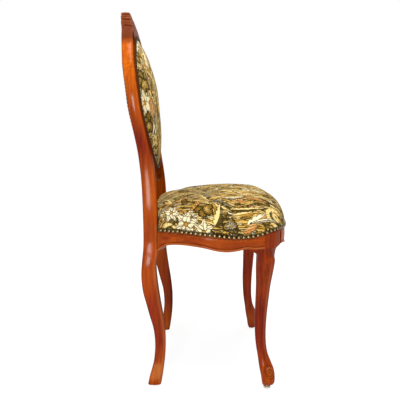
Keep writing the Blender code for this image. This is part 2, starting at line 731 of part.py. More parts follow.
def make_front_rail():
    first = first_past_leg() - 2
    half = rail_sections(half_stations()[first:])
    bm = loft(bmesh.new(), half + [mirrored(section) for section in reversed(half[:-1])])
    for side in (1.0, -1.0):
        keep_below(bm, (side * (LEG_INNER_X - CLEARANCE), 0.0, 0.0), (side, 0.0, 0.0))
    rail = new_object("front_rail", bm, CHERRY)
    tenons = bmesh.new()
    holes = bmesh.new()
    for side in (1.0, -1.0):
        box_on_side(tenons, front_tenon(), side)
        screw_holes(holes, "front", "front", side)
    boolean(rail, new_object("front_rail_tenons", tenons), "UNION")
    boolean(rail, new_object("front_rail_holes", holes), "DIFFERENCE")


def make_rear_rail():
    low = RAIL_TOP - REAR_RAIL_HEIGHT
    outline = (
        (REAR_RAIL_FRONT_Y, low), (REAR_RAIL_REAR_Y, low), (REAR_RAIL_REAR_Y, RAIL_TOP - RAIL_TOP_BEVEL),
        (REAR_RAIL_REAR_Y - RAIL_TOP_BEVEL, RAIL_TOP), (REAR_RAIL_FRONT_Y, RAIL_TOP),
    )
    end = POST_INNER_X - CLEARANCE
    rail = lofted("rear_rail", [[(x, *point) for point in outline] for x in (-end, end)], CHERRY)
    tenons = bmesh.new()
    holes = bmesh.new()
    for side in (1.0, -1.0):
        box_on_side(tenons, rear_tenon(), side)
        screw_holes(holes, "rear", "rear", side)
    boolean(rail, new_object("rear_rail_tenons", tenons), "UNION")
    boolean(rail, new_object("rear_rail_holes", holes), "DIFFERENCE")


# Crest rail and lower rail of the oval
def ring_section(angle, extra):
    """Ring section at an angle, from its inner front edge round to its inner rear edge."""
    inner_x, inner_z = oval_angle_point(OPENING_HALF_WIDTH, OPENING_HALF_HEIGHT, angle)
    outer_x, outer_z = oval_angle_point(OVAL_HALF_WIDTH + extra, OVAL_HALF_HEIGHT + extra, angle)
    width = math.dist((inner_x, inner_z), (outer_x, outer_z))
    cut = RING_EDGE_ROUND * (1 - math.sqrt(0.5))
    profile = (
        (0.0, FRONT_FACE), (width - RING_EDGE_ROUND, FRONT_FACE), (width - cut, FRONT_FACE + cut),
        (width, FRONT_FACE + RING_EDGE_ROUND), (width, REAR_FACE - RING_EDGE_ROUND),
        (width - cut, REAR_FACE - cut), (width - RING_EDGE_ROUND, REAR_FACE), (0.0, REAR_FACE),
    )
    section = []
    for along, depth in profile:
        share = along / width
        section.append(back_point(inner_x + (outer_x - inner_x) * share, inner_z + (outer_z - inner_z) * share, depth))
    return section


def carving(angle):
    """Extra height of the carved crest: a raised middle with a lobe to each side."""
    away = abs(angle - math.pi / 2) / CREST_CARVING_ANGLE
    if away >= 1.0:
        return 0.0
    hump = math.cos(away * math.pi / 2) ** 2
    lobes = CREST_LOBE_SHARE * math.sin(away * math.pi * CREST_LOBES) ** 2
    return CREST_CARVING_RISE * min(hump + lobes * (1 - away), 1.0)


CREST_STEPS = 32
LOWER_STEPS = 20
RING_OVERLAP = math.radians(12)


def make_crest_rail():
    start = math.asin(CREST_JOINT_RISE / OVAL_HALF_HEIGHT) - RING_OVERLAP
    sections = []
    for step in range(CREST_STEPS + 1):
        angle = start + (math.pi - 2 * start) * step / CREST_STEPS
        sections.append(ring_section(angle, carving(angle)))
    bm = loft(bmesh.new(), sections)
    keep_below(bm, (0.0, 0.0, CREST_JOINT_Z + CLEARANCE / 2), (0.0, 0.0, -1.0))
    cuts = bmesh.new()
    rebate_cutters(cuts)
    for side in (1.0, -1.0):
        dowel_holes(cuts, "crest", side)
    boolean(new_object("crest_rail", bm, CHERRY), new_object("crest_rail_cuts", cuts), "DIFFERENCE")


def make_lower_back_rail():
    start = -math.acos(LOWER_JOINT_X / OVAL_HALF_WIDTH) + RING_OVERLAP
    sections = []
    for step in range(LOWER_STEPS + 1):
        angle = start - (math.pi + 2 * start) * step / LOWER_STEPS
        sections.append(ring_section(angle, 0.0))
    bm = loft(bmesh.new(), sections)
    for side in (1.0, -1.0):
        keep_below(bm, (side * (LOWER_JOINT_X - CLEARANCE), 0.0, 0.0), (side, 0.0, 0.0))
    cuts = bmesh.new()
    rebate_cutters(cuts)
    for side in (1.0, -1.0):
        dowel_holes(cuts, "lower", side)
    boolean(new_object("lower_back_rail", bm, CHERRY), new_object("lower_back_rail_cuts", cuts), "DIFFERENCE")


def make_dowels():
    for joint in ("crest", "lower"):
        for name, side in SIDES:
            for number, (start, end) in enumerate(dowel_ends(joint, side), 1):
                bm = bmesh.new()
                add_rod(bm, start, end, DOWEL_DIAMETER, DOWEL_SIDES)
                new_object("%s_dowel_%s_%d" % (joint, name, number), bm, BEECH)


# Corner blocks and screws
BLOCK_TOP = RAIL_TOP - BLOCK_TOP_BELOW_RAIL
BLOCK_LOW = BLOCK_TOP - BLOCK_HEIGHT
BLOCK_MIDDLE = (BLOCK_TOP + BLOCK_LOW) / 2
RAIL_INSIDE = offset_line([2 * PLAN[0] - PLAN[1]] + PLAN, -RAIL_THICKNESS - CLEARANCE)
RAIL_INSIDE_FRONT = RAIL_INSIDE[PLAN_WIDEST + 1:]


def stretch(points, axis, low, high):
    """Part of a line between two coordinates, in the line's own order."""
    ends = [crossing(points, axis, low), crossing(points, axis, high)]
    inside = [point for point in points if low < point[axis] < high]
    run = ends + inside
    return sorted(run, key=lambda point: point[axis])


def front_block_outline():
    side_run = stretch(RAIL_INSIDE, 1, LEG_REAR_Y + CLEARANCE, LEG_REAR_Y + FRONT_BLOCK_REACH)
    front_run = stretch(RAIL_INSIDE_FRONT, 0, LEG_INNER_X - FRONT_BLOCK_REACH, LEG_INNER_X - CLEARANCE)
    corner = Vector((LEG_INNER_X - CLEARANCE, LEG_REAR_Y + CLEARANCE))
    return side_run[::-1] + [corner] + front_run[::-1]


def rear_block_outline():
    side_run = stretch(RAIL_INSIDE, 1, POST_FRONT_Y - REAR_BLOCK_REACH, POST_FRONT_Y - CLEARANCE)
    face = REAR_RAIL_FRONT_Y - CLEARANCE
    corner = Vector((POST_INNER_X - CLEARANCE, POST_FRONT_Y - CLEARANCE))
    return side_run + [corner, Vector((POST_INNER_X - CLEARANCE, face)),
                       Vector((POST_INNER_X - REAR_BLOCK_REACH, face))]


def screw_axis(block, rail, side):
    """Point where a block's screw meets the rail, and the way that it goes in."""
    if block == "front" and rail == "side":
        y = LEG_REAR_Y + FRONT_BLOCK_REACH * SCREW_PLACE_SHARE
        point, way = (crossing(RAIL_INSIDE, 1, y).x, y), (1.0, 0.0)
    elif block == "front":
        x = LEG_INNER_X - FRONT_BLOCK_REACH * SCREW_PLACE_SHARE
        point, way = (x, crossing(RAIL_INSIDE_FRONT, 0, x).y), (0.0, -1.0)
    elif rail == "side":
        y = POST_FRONT_Y - REAR_BLOCK_REACH * SCREW_PLACE_SHARE
        point, way = (crossing(RAIL_INSIDE, 1, y).x, y), (1.0, 0.0)
    else:
        x = POST_INNER_X - REAR_BLOCK_REACH * SCREW_PLACE_SHARE
        point, way = (x, REAR_RAIL_FRONT_Y - CLEARANCE), (0.0, 1.0)
    return Vector((side * point[0], point[1], BLOCK_MIDDLE)), Vector((side * way[0], way[1], 0.0))


def screw_holes(bm, block, rail, side):
    """Pilot hole in the rail."""
    point, way = screw_axis(block, rail, side)
    end = point + way * (SCREW_IN_RAIL + 2 * CLEARANCE)
    add_rod(bm, point - way * SCREW_IN_BLOCK, end, SCREW_SHANK + 2 * CLEARANCE, SCREW_SIDES)


def block_hole(bm, block, rail, side):
    """Clearance hole through the block, with a counterbore for the head."""
    point, way = screw_axis(block, rail, side)
    counterbore = SCREW_HEAD + 4 * CLEARANCE
    shank = SCREW_SHANK + 2 * CLEARANCE
    profile = ((-COUNTERBORE_REACH, counterbore), (-CLEARANCE, counterbore), (-CLEARANCE, shank),
               (2 * SCREW_IN_BLOCK, shank))
    loft(bm, turned_sections(point - way * SCREW_IN_BLOCK, way, profile, SCREW_SIDES))


def make_screw(name, block, rail, side):
    point, way = screw_axis(block, rail, side)
    seat = point - way * (SCREW_IN_BLOCK + 2 * CLEARANCE)
    length = SCREW_IN_BLOCK + SCREW_IN_RAIL
    profile = (
        (-SCREW_HEAD_HEIGHT, SCREW_HEAD * SCREW_CROWN_SHARE), (-SCREW_HEAD_HEIGHT / 2, SCREW_HEAD),
        (0.0, SCREW_HEAD), (0.0, SCREW_SHANK), (length - SCREW_IN_RAIL * SCREW_TAPER_SHARE, SCREW_SHANK),
        (length, SCREW_SHANK * SCREW_POINT_SHARE),
    )
    lofted("%s_block_%s_screw_%s" % (block, name, rail), turned_sections(seat, way, profile, SCREW_SIDES), STEEL)


def make_corner_blocks():
    for block, outline in (("front", front_block_outline()), ("rear", rear_block_outline())):
        for name, side in SIDES:
            plan = side_points([tuple(point) for point in outline], side)
            body = lofted("%s_corner_block_%s" % (block, name),
                          [[(*point, z) for point in plan] for z in (BLOCK_LOW, BLOCK_TOP)], BEECH)
            bm = bmesh.new()
            for rail in ("side", block):
                block_hole(bm, block, rail, side)
                make_screw(name, block, rail, side)
            boolean(body, new_object("%s_block_holes_%s" % (block, name), bm), "DIFFERENCE")


# Foot glides
def make_glides():
    profile = (
        (0.0, GLIDE_DIAMETER * GLIDE_SOLE_SHARE), (GLIDE_THICKNESS * GLIDE_EDGE_SHARE, GLIDE_DIAMETER),
        (GLIDE_THICKNESS, GLIDE_DIAMETER), (GLIDE_THICKNESS, GLIDE_PIN), (FOOT_Z + GLIDE_PIN_LENGTH, GLIDE_PIN),
    )
    for leg in ("front", "rear"):
        x, y = foot_middle(leg)
        for name, side in SIDES:
            sections = turned_sections((side * x, y, 0.0), (0.0, 0.0, 1.0), profile, GLIDE_SIDES)
            lofted("%s_glide_%s" % (leg, name), sections, NYLON)


# Seat upholstery
def seat_outline(outward, stepped=False):
    """Loop round the seat, clockwise from the rear middle, with the height of the nails at each point.

    The rails' faces are moved outwards by a distance; the notches keep clear of the posts. A stepped loop
    lifts the notches' edges onto the rails, with a point beside each end of a notch for the step.
    """
    edge = offset_line(PLAN, outward)
    rear = REAR_RAIL_REAR_Y + outward
    notch_x = POST_INNER_X - CLEARANCE
    notch_y = POST_FRONT_Y - CLEARANCE
    rear_nails = RAIL_TOP - REAR_NAIL_LINE_BELOW_TOP
    first_nails = RAIL_TOP - smooth(NAIL_LINE_BELOW_TOP, 0.0)
    notch_level = RAIL_TOP + CLEARANCE + COVER_BELOW_NAILS
    half = [(Vector((0.0, rear)), rear_nails), (Vector((notch_x / 2, rear)), rear_nails),
            (Vector((notch_x, rear)), rear_nails)]
    if stepped:
        half.append((Vector((notch_x, REAR_RAIL_REAR_Y + CLEARANCE / 2)), notch_level))
    half.append((Vector((notch_x, notch_y)), notch_level))
    if stepped:
        half.append((crossing(PLAN, 1, notch_y) + Vector((CLEARANCE / 2, 0.0)), notch_level))
    half.append((crossing(edge, 1, notch_y), first_nails))
    for point, share in list(zip(edge, PLAN_STATIONS))[1:]:
        half.append((point, RAIL_TOP - smooth(NAIL_LINE_BELOW_TOP, share)))
    other = [(Vector((-point.x, point.y)), nails) for point, nails in reversed(half[1:-1])]
    return half + other


def fullness(point):
    """Exponent of the dome's profile towards a point of the outline."""
    away = (point - Vector((0.0, CROWN_Y))).normalized()
    end = REAR_FULLNESS if away.y > 0 else FRONT_FULLNESS
    return SIDE_FULLNESS + (end - SIDE_FULLNESS) * away.y ** 2


def notched(point):
    """Whether a point of the outline is the inner corner of a notch."""
    return abs(abs(point.x) - POST_INNER_X) < 2 * CLEARANCE and abs(point.y - POST_FRONT_Y) < 2 * CLEARANCE


def dome_edge(nails):
    """Height where the dome starts, above the nails and the rail's bevel."""
    return max(nails + COVER_EDGE_ABOVE_NAILS, RAIL_TOP - RAIL_TOP_BEVEL + CLEARANCE)


def dome_loop(outline, inset, turn):
    """Loop of the seat's dome, drawn in by an inset, at a turn from its edge at 0 to its crown."""
    points = inset_loop([point for point, nails in outline], inset)
    crown = Vector((0.0, CROWN_Y))
    loop = []
    for point, (outer, nails) in zip(points, outline):
        power = 2 / fullness(outer)
        edge = dome_edge(nails)
        share = math.cos(turn) ** power
        away = point - crown
        if notched(outer):
            away += away.normalized() * NOTCH_EASE * (1 - share)
        place = crown + away * share
        loop.append((*place, edge + (CROWN_HEIGHT - inset - edge) * math.sin(turn) ** power))
    return loop


def dome_loops(outline, inset):
    """Loops of the dome from its edge to close under its crown."""
    quarter = math.pi / 2
    turns = [quarter * step / DOME_RINGS for step in range(DOME_RINGS)] + [quarter - DOME_CAP_ANGLE]
    return [dome_loop(outline, inset, turn) for turn in turns]


COVER_OUTWARD = CLEARANCE + COVER_THICKNESS
HESSIAN_LOW = RAIL_TOP + 2 * WEB_THICKNESS + 3 * CLEARANCE
STUFFING_LOW = HESSIAN_LOW + HESSIAN_THICKNESS + CLEARANCE


def make_seat_cover():
    outline = seat_outline(COVER_OUTWARD, stepped=True)
    inner = inset_loop([point for point, nails in outline], COVER_THICKNESS)
    rim = [nails - COVER_BELOW_NAILS for point, nails in outline]
    sections = dome_loops(outline, COVER_THICKNESS)[::-1]
    sections.append([(*point, low) for point, low in zip(inner, rim)])
    sections.append([(*point, low) for (point, nails), low in zip(outline, rim)])
    sections += dome_loops(outline, 0.0)
    lofted("seat_cover", sections, TAPESTRY)


def make_seat_stuffing():
    """Stuffing under the cover, cut off level above the hessian."""
    rings = dome_loops(seat_outline(COVER_OUTWARD), COVER_THICKNESS + STUFFING_EASE)
    base = []
    for low, high in zip(rings[0], rings[1]):
        share = max((STUFFING_LOW - low[2]) / (high[2] - low[2]), 0.0)
        point = Vector(low).lerp(Vector(high), share)
        base.append((point.x, point.y, STUFFING_LOW))
    lofted("seat_stuffing", [base] + rings[1:], HORSEHAIR)


def make_seat_hessian():
    outline = seat_outline(COVER_OUTWARD)
    plan = inset_loop([point for point, nails in outline], HESSIAN_INSET)
    heights = (HESSIAN_LOW, HESSIAN_LOW + HESSIAN_THICKNESS)
    lofted("seat_hessian", [[(*point, z) for point in plan] for z in heights], JUTE)


def strip_sections(path, across):
    """Flat strip along points given as the middle of its underside."""
    sections = []
    for point in path:
        low, high = Vector(point), Vector(point) + Vector((0.0, 0.0, WEB_THICKNESS))
        sections.append([tuple(low - across), tuple(low + across), tuple(high + across), tuple(high - across)])
    return sections


def make_webbing():
    level = RAIL_TOP + CLEARANCE
    step_height = WEB_THICKNESS + CLEARANCE
    half = WEB_WIDTH / 2
    for number, x in enumerate(WEB_ALONG_X, 1):
        front_edge = crossing(PLAN_FRONT, 0, abs(x) + half).y
        path = [(x, front_edge + RAIL_THICKNESS - WEB_LAP_ON_RAIL, level),
                (x, REAR_RAIL_FRONT_Y + WEB_LAP_ON_RAIL, level)]
        lofted("webbing_along_%d" % number, strip_sections(path, Vector((half, 0.0, 0.0))), JUTE)
    for number, y in enumerate(WEB_ACROSS_Y, 1):
        reach = min(crossing(PLAN, 1, y - half).x, crossing(PLAN, 1, y + half).x)
        end = reach - RAIL_THICKNESS + WEB_LAP_ON_RAIL
        path = [(-end, y, level)]
        for index, x in enumerate(WEB_ALONG_X):
            lift = step_height if (index + number) % 2 else -step_height
            path += [(x - half - WEB_RAMP, y, level), (x - half - CLEARANCE, y, level + lift),
                     (x + half + CLEARANCE, y, level + lift), (x + half + WEB_RAMP, y, level)]
        path.append((end, y, level))
        lofted("webbing_across_%d" % number, strip_sections(path, Vector((0.0, half, 0.0))), JUTE)


def make_dust_cover():
    """Dark cloth under the corner blocks, inside the rails and notched round the legs."""
    half = [(POST_INNER_X - CLEARANCE, REAR_RAIL_FRONT_Y - CLEARANCE),
            (POST_INNER_X - CLEARANCE, POST_FRONT_Y - CLEARANCE)]
    half += [tuple(point) for point in stretch(RAIL_INSIDE, 1, LEG_REAR_Y + CLEARANCE, POST_FRONT_Y - CLEARANCE)][::-1]
    half.append((LEG_INNER_X - CLEARANCE, LEG_REAR_Y + CLEARANCE))
    front_run = stretch(RAIL_INSIDE_FRONT, 0, 0.0, LEG_INNER_X - CLEARANCE)
    half += [tuple(point) for point in front_run][::-1]
    plan = half + mirrored(half[:-1])[::-1]
    high = BLOCK_LOW - CLEARANCE
    sections = [[(*point, z) for point in plan] for z in (high - DUST_COVER_THICKNESS, high)]
    lofted("dust_cover", sections, CAMBRIC)


def nail_strip(name, points, nails):
    """Half-round strip of nail heads along points on the cover's face, given in walking order."""
    outer = offset_line(points, NAIL_STRIP_BACK)
    proud = offset_line(points, NAIL_STRIP_BACK + NAIL_RISE * NAIL_SHOULDER_RISE)
    top = offset_line(points, NAIL_STRIP_BACK + NAIL_RISE)
    half = NAIL_HEAD / 2
    sections = []
    for base, shoulder, crown, height in zip(outer, proud, top, nails):
        sections.append([(*base, height - half), (*shoulder, height - half * NAIL_SHOULDER_WIDTH), (*crown, height),
                         (*shoulder, height + half * NAIL_SHOULDER_WIDTH), (*base, height + half)])
    lofted(name, sections, BRONZE)


def make_nailing():
    """Close nailing along both sides, the front and the rear."""
    outline = seat_outline(COVER_OUTWARD)
    count = len(PLAN_STATIONS)
    corner = first_past_leg()
    first = 4
    side_run = outline[first:first + corner]
    front_run = outline[first + corner:first + count]
    front_other = [(Vector((-point.x, point.y)), nails) for point, nails in reversed(front_run[:-1])]
    side_other = [(Vector((-point.x, point.y)), nails) for point, nails in reversed(side_run)]
    rear_half = outline[0:3]
    rear_other = [(Vector((-point.x, point.y)), nails) for point, nails in reversed(rear_half[1:])]
    runs = {"left": side_run, "right": side_other, "front": front_run + front_other, "rear": rear_other + rear_half}
    for name, run in runs.items():
        nail_strip("seat_nailing_" + name, [point for point, nails in run], [nails for point, nails in run])


# Back upholstery
HESSIAN_REAR = FRONT_REBATE_FLOOR - CLEARANCE
HESSIAN_FRONT = HESSIAN_REAR - BACK_HESSIAN_THICKNESS
PAD_REAR = HESSIAN_FRONT - CLEARANCE
PAD_INSET = TRIM_WIDTH + PAD_MARGIN


def pad_loops(inset, base, crown):
    """Loops of the back's dome from its edge to its crown, standing forward of a base depth."""
    loops = []
    for share in reversed(OVAL_RINGS):
        loops.append(oval_loop(inset, base - crown * (1 - share ** 2), share, BACK_CROWN_RISE))
    return loops


def pad_base_loops(depth):
    """Loops of the pad's flat rear at a depth, from its middle to its edge."""
    return [oval_loop(PAD_INSET + CLEARANCE, depth, share, BACK_CROWN_RISE) for share in OVAL_RINGS]


def make_back_panel():
    rear = pad_base_loops(HESSIAN_REAR) + [oval_loop(CLEARANCE, HESSIAN_REAR)]
    front = pad_base_loops(HESSIAN_FRONT) + [oval_loop(CLEARANCE, HESSIAN_FRONT)]
    lofted("back_hessian", rear + front[::-1], JUTE)


def make_back_stuffing():
    crown = BACK_CROWN - BACK_COVER_THICKNESS - CLEARANCE
    front = pad_loops(PAD_INSET + CLEARANCE, PAD_REAR - CLEARANCE, crown)
    lofted("back_stuffing", pad_base_loops(PAD_REAR) + front, HORSEHAIR)


def make_back_cover():
    inset = PAD_INSET
    flat = TRIM_WIDTH + 2 * CLEARANCE
    inner_base = PAD_REAR - 2 * CLEARANCE
    outer_base = inner_base - BACK_COVER_THICKNESS
    crown = BACK_CROWN - BACK_COVER_THICKNESS
    sections = list(reversed(pad_loops(inset, inner_base, crown)))
    sections += [oval_loop(edge, PAD_REAR) for edge in (flat, CLEARANCE)]
    sections += [oval_loop(edge, PAD_REAR - BACK_COVER_THICKNESS) for edge in (CLEARANCE, flat)]
    sections += pad_loops(inset, outer_base, crown)
    lofted("back_cover", sections, TAPESTRY)


def trim_ring(name, base, way):
    """Half-round ring lying on a panel's edge, raised forwards or backwards from a base depth."""
    inner = CLEARANCE + TRIM_WIDTH
    shoulder = TRIM_WIDTH * TRIM_SHOULDER_INSET
    rings = (
        (CLEARANCE, 0.0), (CLEARANCE + shoulder, TRIM_SHOULDER_RISE), (CLEARANCE + TRIM_WIDTH / 2, 1.0),
        (inner - shoulder, TRIM_SHOULDER_RISE), (inner, 0.0),
    )
    loops = [oval_loop(inset, base + way * TRIM_RISE * rise) for inset, rise in rings]
    sections = [[loop[step] for loop in loops] for step in range(OVAL_SIDES)]
    lofted(name, sections, BRONZE, closed=True)


def make_back_trim():
    trim_ring("back_trim_front", PAD_REAR - BACK_COVER_THICKNESS - CLEARANCE, -1.0)
    trim_ring("back_trim_rear", REAR_REBATE_FLOOR + OUTSIDE_BACK_THICKNESS + 2 * CLEARANCE, 1.0)


def make_outside_back():
    low = REAR_REBATE_FLOOR + CLEARANCE
    high = low + OUTSIDE_BACK_THICKNESS
    flange = CLEARANCE + TRIM_WIDTH
    front = [oval_loop(CLEARANCE, low, share) for share in OVAL_RINGS]
    rear = [oval_loop(CLEARANCE, high), oval_loop(flange + CLEARANCE, high)]
    for share in reversed(OVAL_RINGS[:-1]):
        rear.append(oval_loop(flange + CLEARANCE, high + OUTSIDE_BACK_CROWN * (1 - share ** 2), share))
    lofted("outside_back", front + rear, TAPESTRY)


# The chair
for old in list(bpy.data.objects):
    bpy.data.objects.remove(old, do_unlink=True)
chair = bpy.data.objects.new("chair", None)
bpy.context.scene.collection.objects.link(chair)

for side_name, side_sign in SIDES:
    make_rear_leg(side_name, side_sign)
    make_front_leg(side_name, side_sign)
    make_side_rail(side_name, side_sign)
make_front_rail()
make_rear_rail()
make_crest_rail()
make_lower_back_rail()
make_dowels()
make_corner_blocks()
make_glides()
make_webbing()
make_seat_hessian()
make_seat_stuffing()
make_seat_cover()
make_nailing()
make_dust_cover()
make_back_panel()
make_back_stuffing()
make_back_cover()
make_back_trim()
make_outside_back()
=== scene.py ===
"""Looks of an upholstered side chair: lacquered wood, a carved crest, tapestry pads and close nailing.

Metres, +Z up. The chair faces -Y, left is the sitter's left at +X.
"""
import math

import bmesh
import bpy
import numpy as np
from bpy.props import FloatProperty, FloatVectorProperty, IntProperty, PointerProperty
from bpy.types import Operator, Panel, PropertyGroup
from mathutils import Matrix, Vector


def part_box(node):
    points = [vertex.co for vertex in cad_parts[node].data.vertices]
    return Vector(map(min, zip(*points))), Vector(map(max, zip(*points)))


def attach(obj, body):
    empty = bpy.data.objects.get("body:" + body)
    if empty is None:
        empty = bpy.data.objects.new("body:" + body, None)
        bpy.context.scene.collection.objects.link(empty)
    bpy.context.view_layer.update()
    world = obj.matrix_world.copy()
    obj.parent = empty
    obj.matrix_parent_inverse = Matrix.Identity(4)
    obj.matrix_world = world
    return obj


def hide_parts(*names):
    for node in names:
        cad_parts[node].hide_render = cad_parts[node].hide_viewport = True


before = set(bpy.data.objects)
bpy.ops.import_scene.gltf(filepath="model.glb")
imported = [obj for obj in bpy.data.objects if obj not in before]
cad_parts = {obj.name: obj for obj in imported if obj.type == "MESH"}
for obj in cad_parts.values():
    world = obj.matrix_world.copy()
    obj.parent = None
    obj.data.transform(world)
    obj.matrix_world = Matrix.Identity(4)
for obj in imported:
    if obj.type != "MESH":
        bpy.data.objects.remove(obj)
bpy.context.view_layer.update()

bl_info = {
    "name": "Tapestry side chair",
    "version": (1, 0, 0),
    "blender": (4, 5, 0),
    "location": "View3D > Sidebar > Chair",
    "description": "Builds the looks of a carved side chair round its packed frame",
    "category": "Add Mesh",
}

BODY = "root"
SIDES = (("left", 1.0), ("right", -1.0))
GAP = 0.0003

# Seat frame in plan, from the rear post to the middle front, for the side at +X
RAIL_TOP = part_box("rear_rail")[1].z
POST_INNER_X = 0.150
POST_OUTER_X = 0.1825
POST_FRONT_Y = 0.121
POST_REAR_Y = 0.153
SEAT_HALF_WIDTH = 0.232
SEAT_FRONT_Y = -0.222
PLAN_POINTS = (
    (POST_OUTER_X, POST_FRONT_Y),
    (POST_OUTER_X + 0.0255, POST_FRONT_Y - 0.051),
    (SEAT_HALF_WIDTH - 0.006, POST_FRONT_Y - 0.111),
    (SEAT_HALF_WIDTH, SEAT_FRONT_Y + 0.172),
    (SEAT_HALF_WIDTH - 0.001, SEAT_FRONT_Y + 0.122),
    (SEAT_HALF_WIDTH - 0.010, SEAT_FRONT_Y + 0.072),
    (SEAT_HALF_WIDTH - 0.037, SEAT_FRONT_Y + 0.044),
    (SEAT_HALF_WIDTH - 0.082, SEAT_FRONT_Y + 0.0265),
    (SEAT_HALF_WIDTH - 0.152, SEAT_FRONT_Y + 0.0115),
    (0.0, SEAT_FRONT_Y + 0.0015),
)
PLAN_STEPS = 480

# Seat rails: depths below the rail's top, by the share of the way round to the middle front
RAIL_THICKNESS = 0.026
RAIL_TOP_BEVEL = 0.008
RAIL_DEPTH = (
    (0.0, 0.064), (0.03, 0.052), (0.06, 0.0462), (0.11, 0.0428), (0.17, 0.0434), (0.24, 0.0473),
    (0.30, 0.0540), (0.35, 0.0560), (0.40, 0.0525), (0.44, 0.0485), (0.48, 0.0500), (0.56, 0.0470),
    (0.63, 0.0445), (0.70, 0.0480), (0.80, 0.0580), (0.90, 0.0680), (1.0, 0.0740),
)
NAIL_LINE = (
    (0.0, 0.0108), (0.10, 0.0092), (0.17, 0.0105), (0.24, 0.0137), (0.31, 0.0168), (0.38, 0.0194),
    (0.45, 0.0179), (0.505, 0.0128), (0.546, 0.0060), (0.59, 0.0030), (0.64, 0.0030), (0.72, 0.0070),
    (0.85, 0.0135), (1.0, 0.0170),
)
LEDGE_BELOW_NAILS = 0.0070
LEDGE_OUT = 0.0018
FACE_BULGE = 0.0008
RAIL_BEAD = 0.0026
REAR_RAIL_SETBACK = 0.004
REAR_RAIL_THICKNESS = 0.024
REAR_RAIL_HEIGHT = 0.055
REAR_RAIL_ARCH = 0.006
REAR_RAIL_ROUND = 0.004
REAR_NAIL_LINE = 0.014

# Front legs: sides of the leg at shares of the rail's height
LEG_INNER_X = SEAT_HALF_WIDTH - 0.052
LEG_REAR_Y = SEAT_FRONT_Y + 0.097
LEG_JOINT_Y = SEAT_FRONT_Y + 0.080
KNEE_BRACKET_LENGTH = 0.030
KNEE_BRACKET_DROP = 0.0125
LEG_BLOCK_SHARE = 0.900
LEG_FULLNESS = 0.0013
FRONT_LEG_SIDES = (
    # share, then how far the inner, outer, front and rear sides lie from the block's
    (0.010, 0.013, -0.029, 0.058, -0.0230),
    (0.022, 0.012, -0.019, 0.0525, -0.0205),
    (0.040, 0.0105, -0.0130, 0.0488, -0.0190),
    (0.080, 0.009, -0.012, 0.0482, -0.0165),
    (0.120, 0.007, -0.0145, 0.0506, -0.013),
    (0.160, 0.004, -0.0195, 0.057, -0.0105),
    (0.205, 0.001, -0.0245, 0.0645, -0.008),
    (0.255, -0.001, -0.0275, 0.069, -0.0045),
    (0.330, -0.0028, -0.029, 0.071, -0.0015),
    (0.430, -0.0035, -0.0275, 0.070, 0.000),
    (0.550, -0.0025, -0.023, 0.066, -0.001),
    (0.650, -0.001, -0.0185, 0.062, -0.0015),
    (0.740, 0.000, -0.014, 0.0560, -0.0005),
    (0.800, 0.000, -0.0100, 0.0525, 0.000),
    (0.845, 0.000, -0.0078, 0.0495, 0.000),
    (0.870, 0.000, -0.0065, 0.0465, 0.000),
)
FOOT_Z = 0.0043
LEG_ROUNDNESS = 2.6
RIDGE_ANGLE = math.radians(-27)
RIDGE_HEIGHT = 0.24
TOE_ANGLE = math.radians(-20)
WHORL_Z = 0.046
WHORL_RADIUS = 0.0125
WHORL_PITCH = 0.0062
WHORL_DEPTH = 0.0013

# Rear legs: shares of the rail's height
REAR_BLOCK_SHARE = 0.84
REAR_LEG_FRONT = (
    (0.01, -0.0055), (0.055, -0.009), (0.12, -0.013), (0.19, -0.016), (0.25, -0.017), (0.33, -0.0164),
    (0.43, -0.012), (0.52, -0.006), (0.60, -0.001), (0.695, 0.0036), (0.765, 0.0050), (0.81, 0.0020),
    (0.84, 0.0), (0.90, 0.0), (1.0, 0.0),
)
REAR_LEG_REAR = (
    (0.01, -0.0045), (0.04, -0.0070), (0.09, -0.0132), (0.155, -0.0195), (0.25, -0.0225), (0.35, -0.019),
    (0.445, -0.0090), (0.52, -0.0014), (0.60, 0.0062), (0.695, 0.0095), (0.78, 0.0077), (0.85, 0.0052),
    (0.91, 0.0045), (1.0, 0.0045),
)
REAR_LEG_LATERAL = (
    # share, then how far the inner and outer sides lie outside the post's
    (0.01, 0.0225, 0.0185), (0.10, 0.0180, 0.0130), (0.27, 0.0125, 0.0045), (0.45, 0.0115, 0.0085),
    (0.60, 0.0105, 0.0140), (0.70, 0.0085, 0.0160), (0.78, 0.0050, 0.0120), (0.86, 0.0, 0.0035),
    (0.92, 0.0, 0.0), (1.0, 0.0, 0.0),
)
POST_SWELL = ((0.0, 0.0045), (0.065, 0.0048), (0.14, 0.0022), (0.21, 0.0), (0.40, 0.0))

# Finish of the wood: shares of the lighter stain with painted light and shade, of the dark glaze with
# painted shade, and of the rubbed finish with painted highlights
REAR_LEG_STAIN_AND_PAINTED_LIGHT = (
    # height, share of the lighter stain, which also paints the light and shade of the leg's bends and a
    # highlight at the foot
    (0.0, 0.40), (0.025, 0.50), (0.12, 0.0), (0.32, 0.33), (0.41, 0.28), (0.52, 0.48), (0.62, 0.08),
    (0.70, 0.50), (0.82, 1.0),
)
FRONT_LEG_TONE = ((0.0, 0.12), (0.03, 0.28), (0.11, 0.05), (0.28, 0.05), (0.40, 0.20))
# painted light lifting the inner faces of the rear legs below the seat, where the seat casts shade
INNER_FACE_PAINTED_LIGHT = 0.16
# painted light on the front leg's faces turned to the front, beside the ridge
RIDGE_PAINTED_LIGHT = 0.16
SIDE_RAIL_TONE = 0.37
FRONT_RAIL_TONE = 0.34
LOWER_RAIL_TONE = 0.35
CREST_TONE = 1.0
# painted shade on the inner part of the ring's front face beside the pad
FACE_PAINTED_SHADE = 0.95
# painted shade on the inner faces of the posts above the seat
POST_INNER_PAINTED_SHADE = 0.62
SEAM_GLAZE = 0.9
# rubbed finish and painted highlight along the legs' outer front edges
LEG_EDGE_WEAR_AND_HIGHLIGHT = 0.55
RING_EDGE_WEAR = 0.10
# painted highlight: a pale patch on the outer face of each rear foot
FOOT_PAINTED_HIGHLIGHT = 0.7

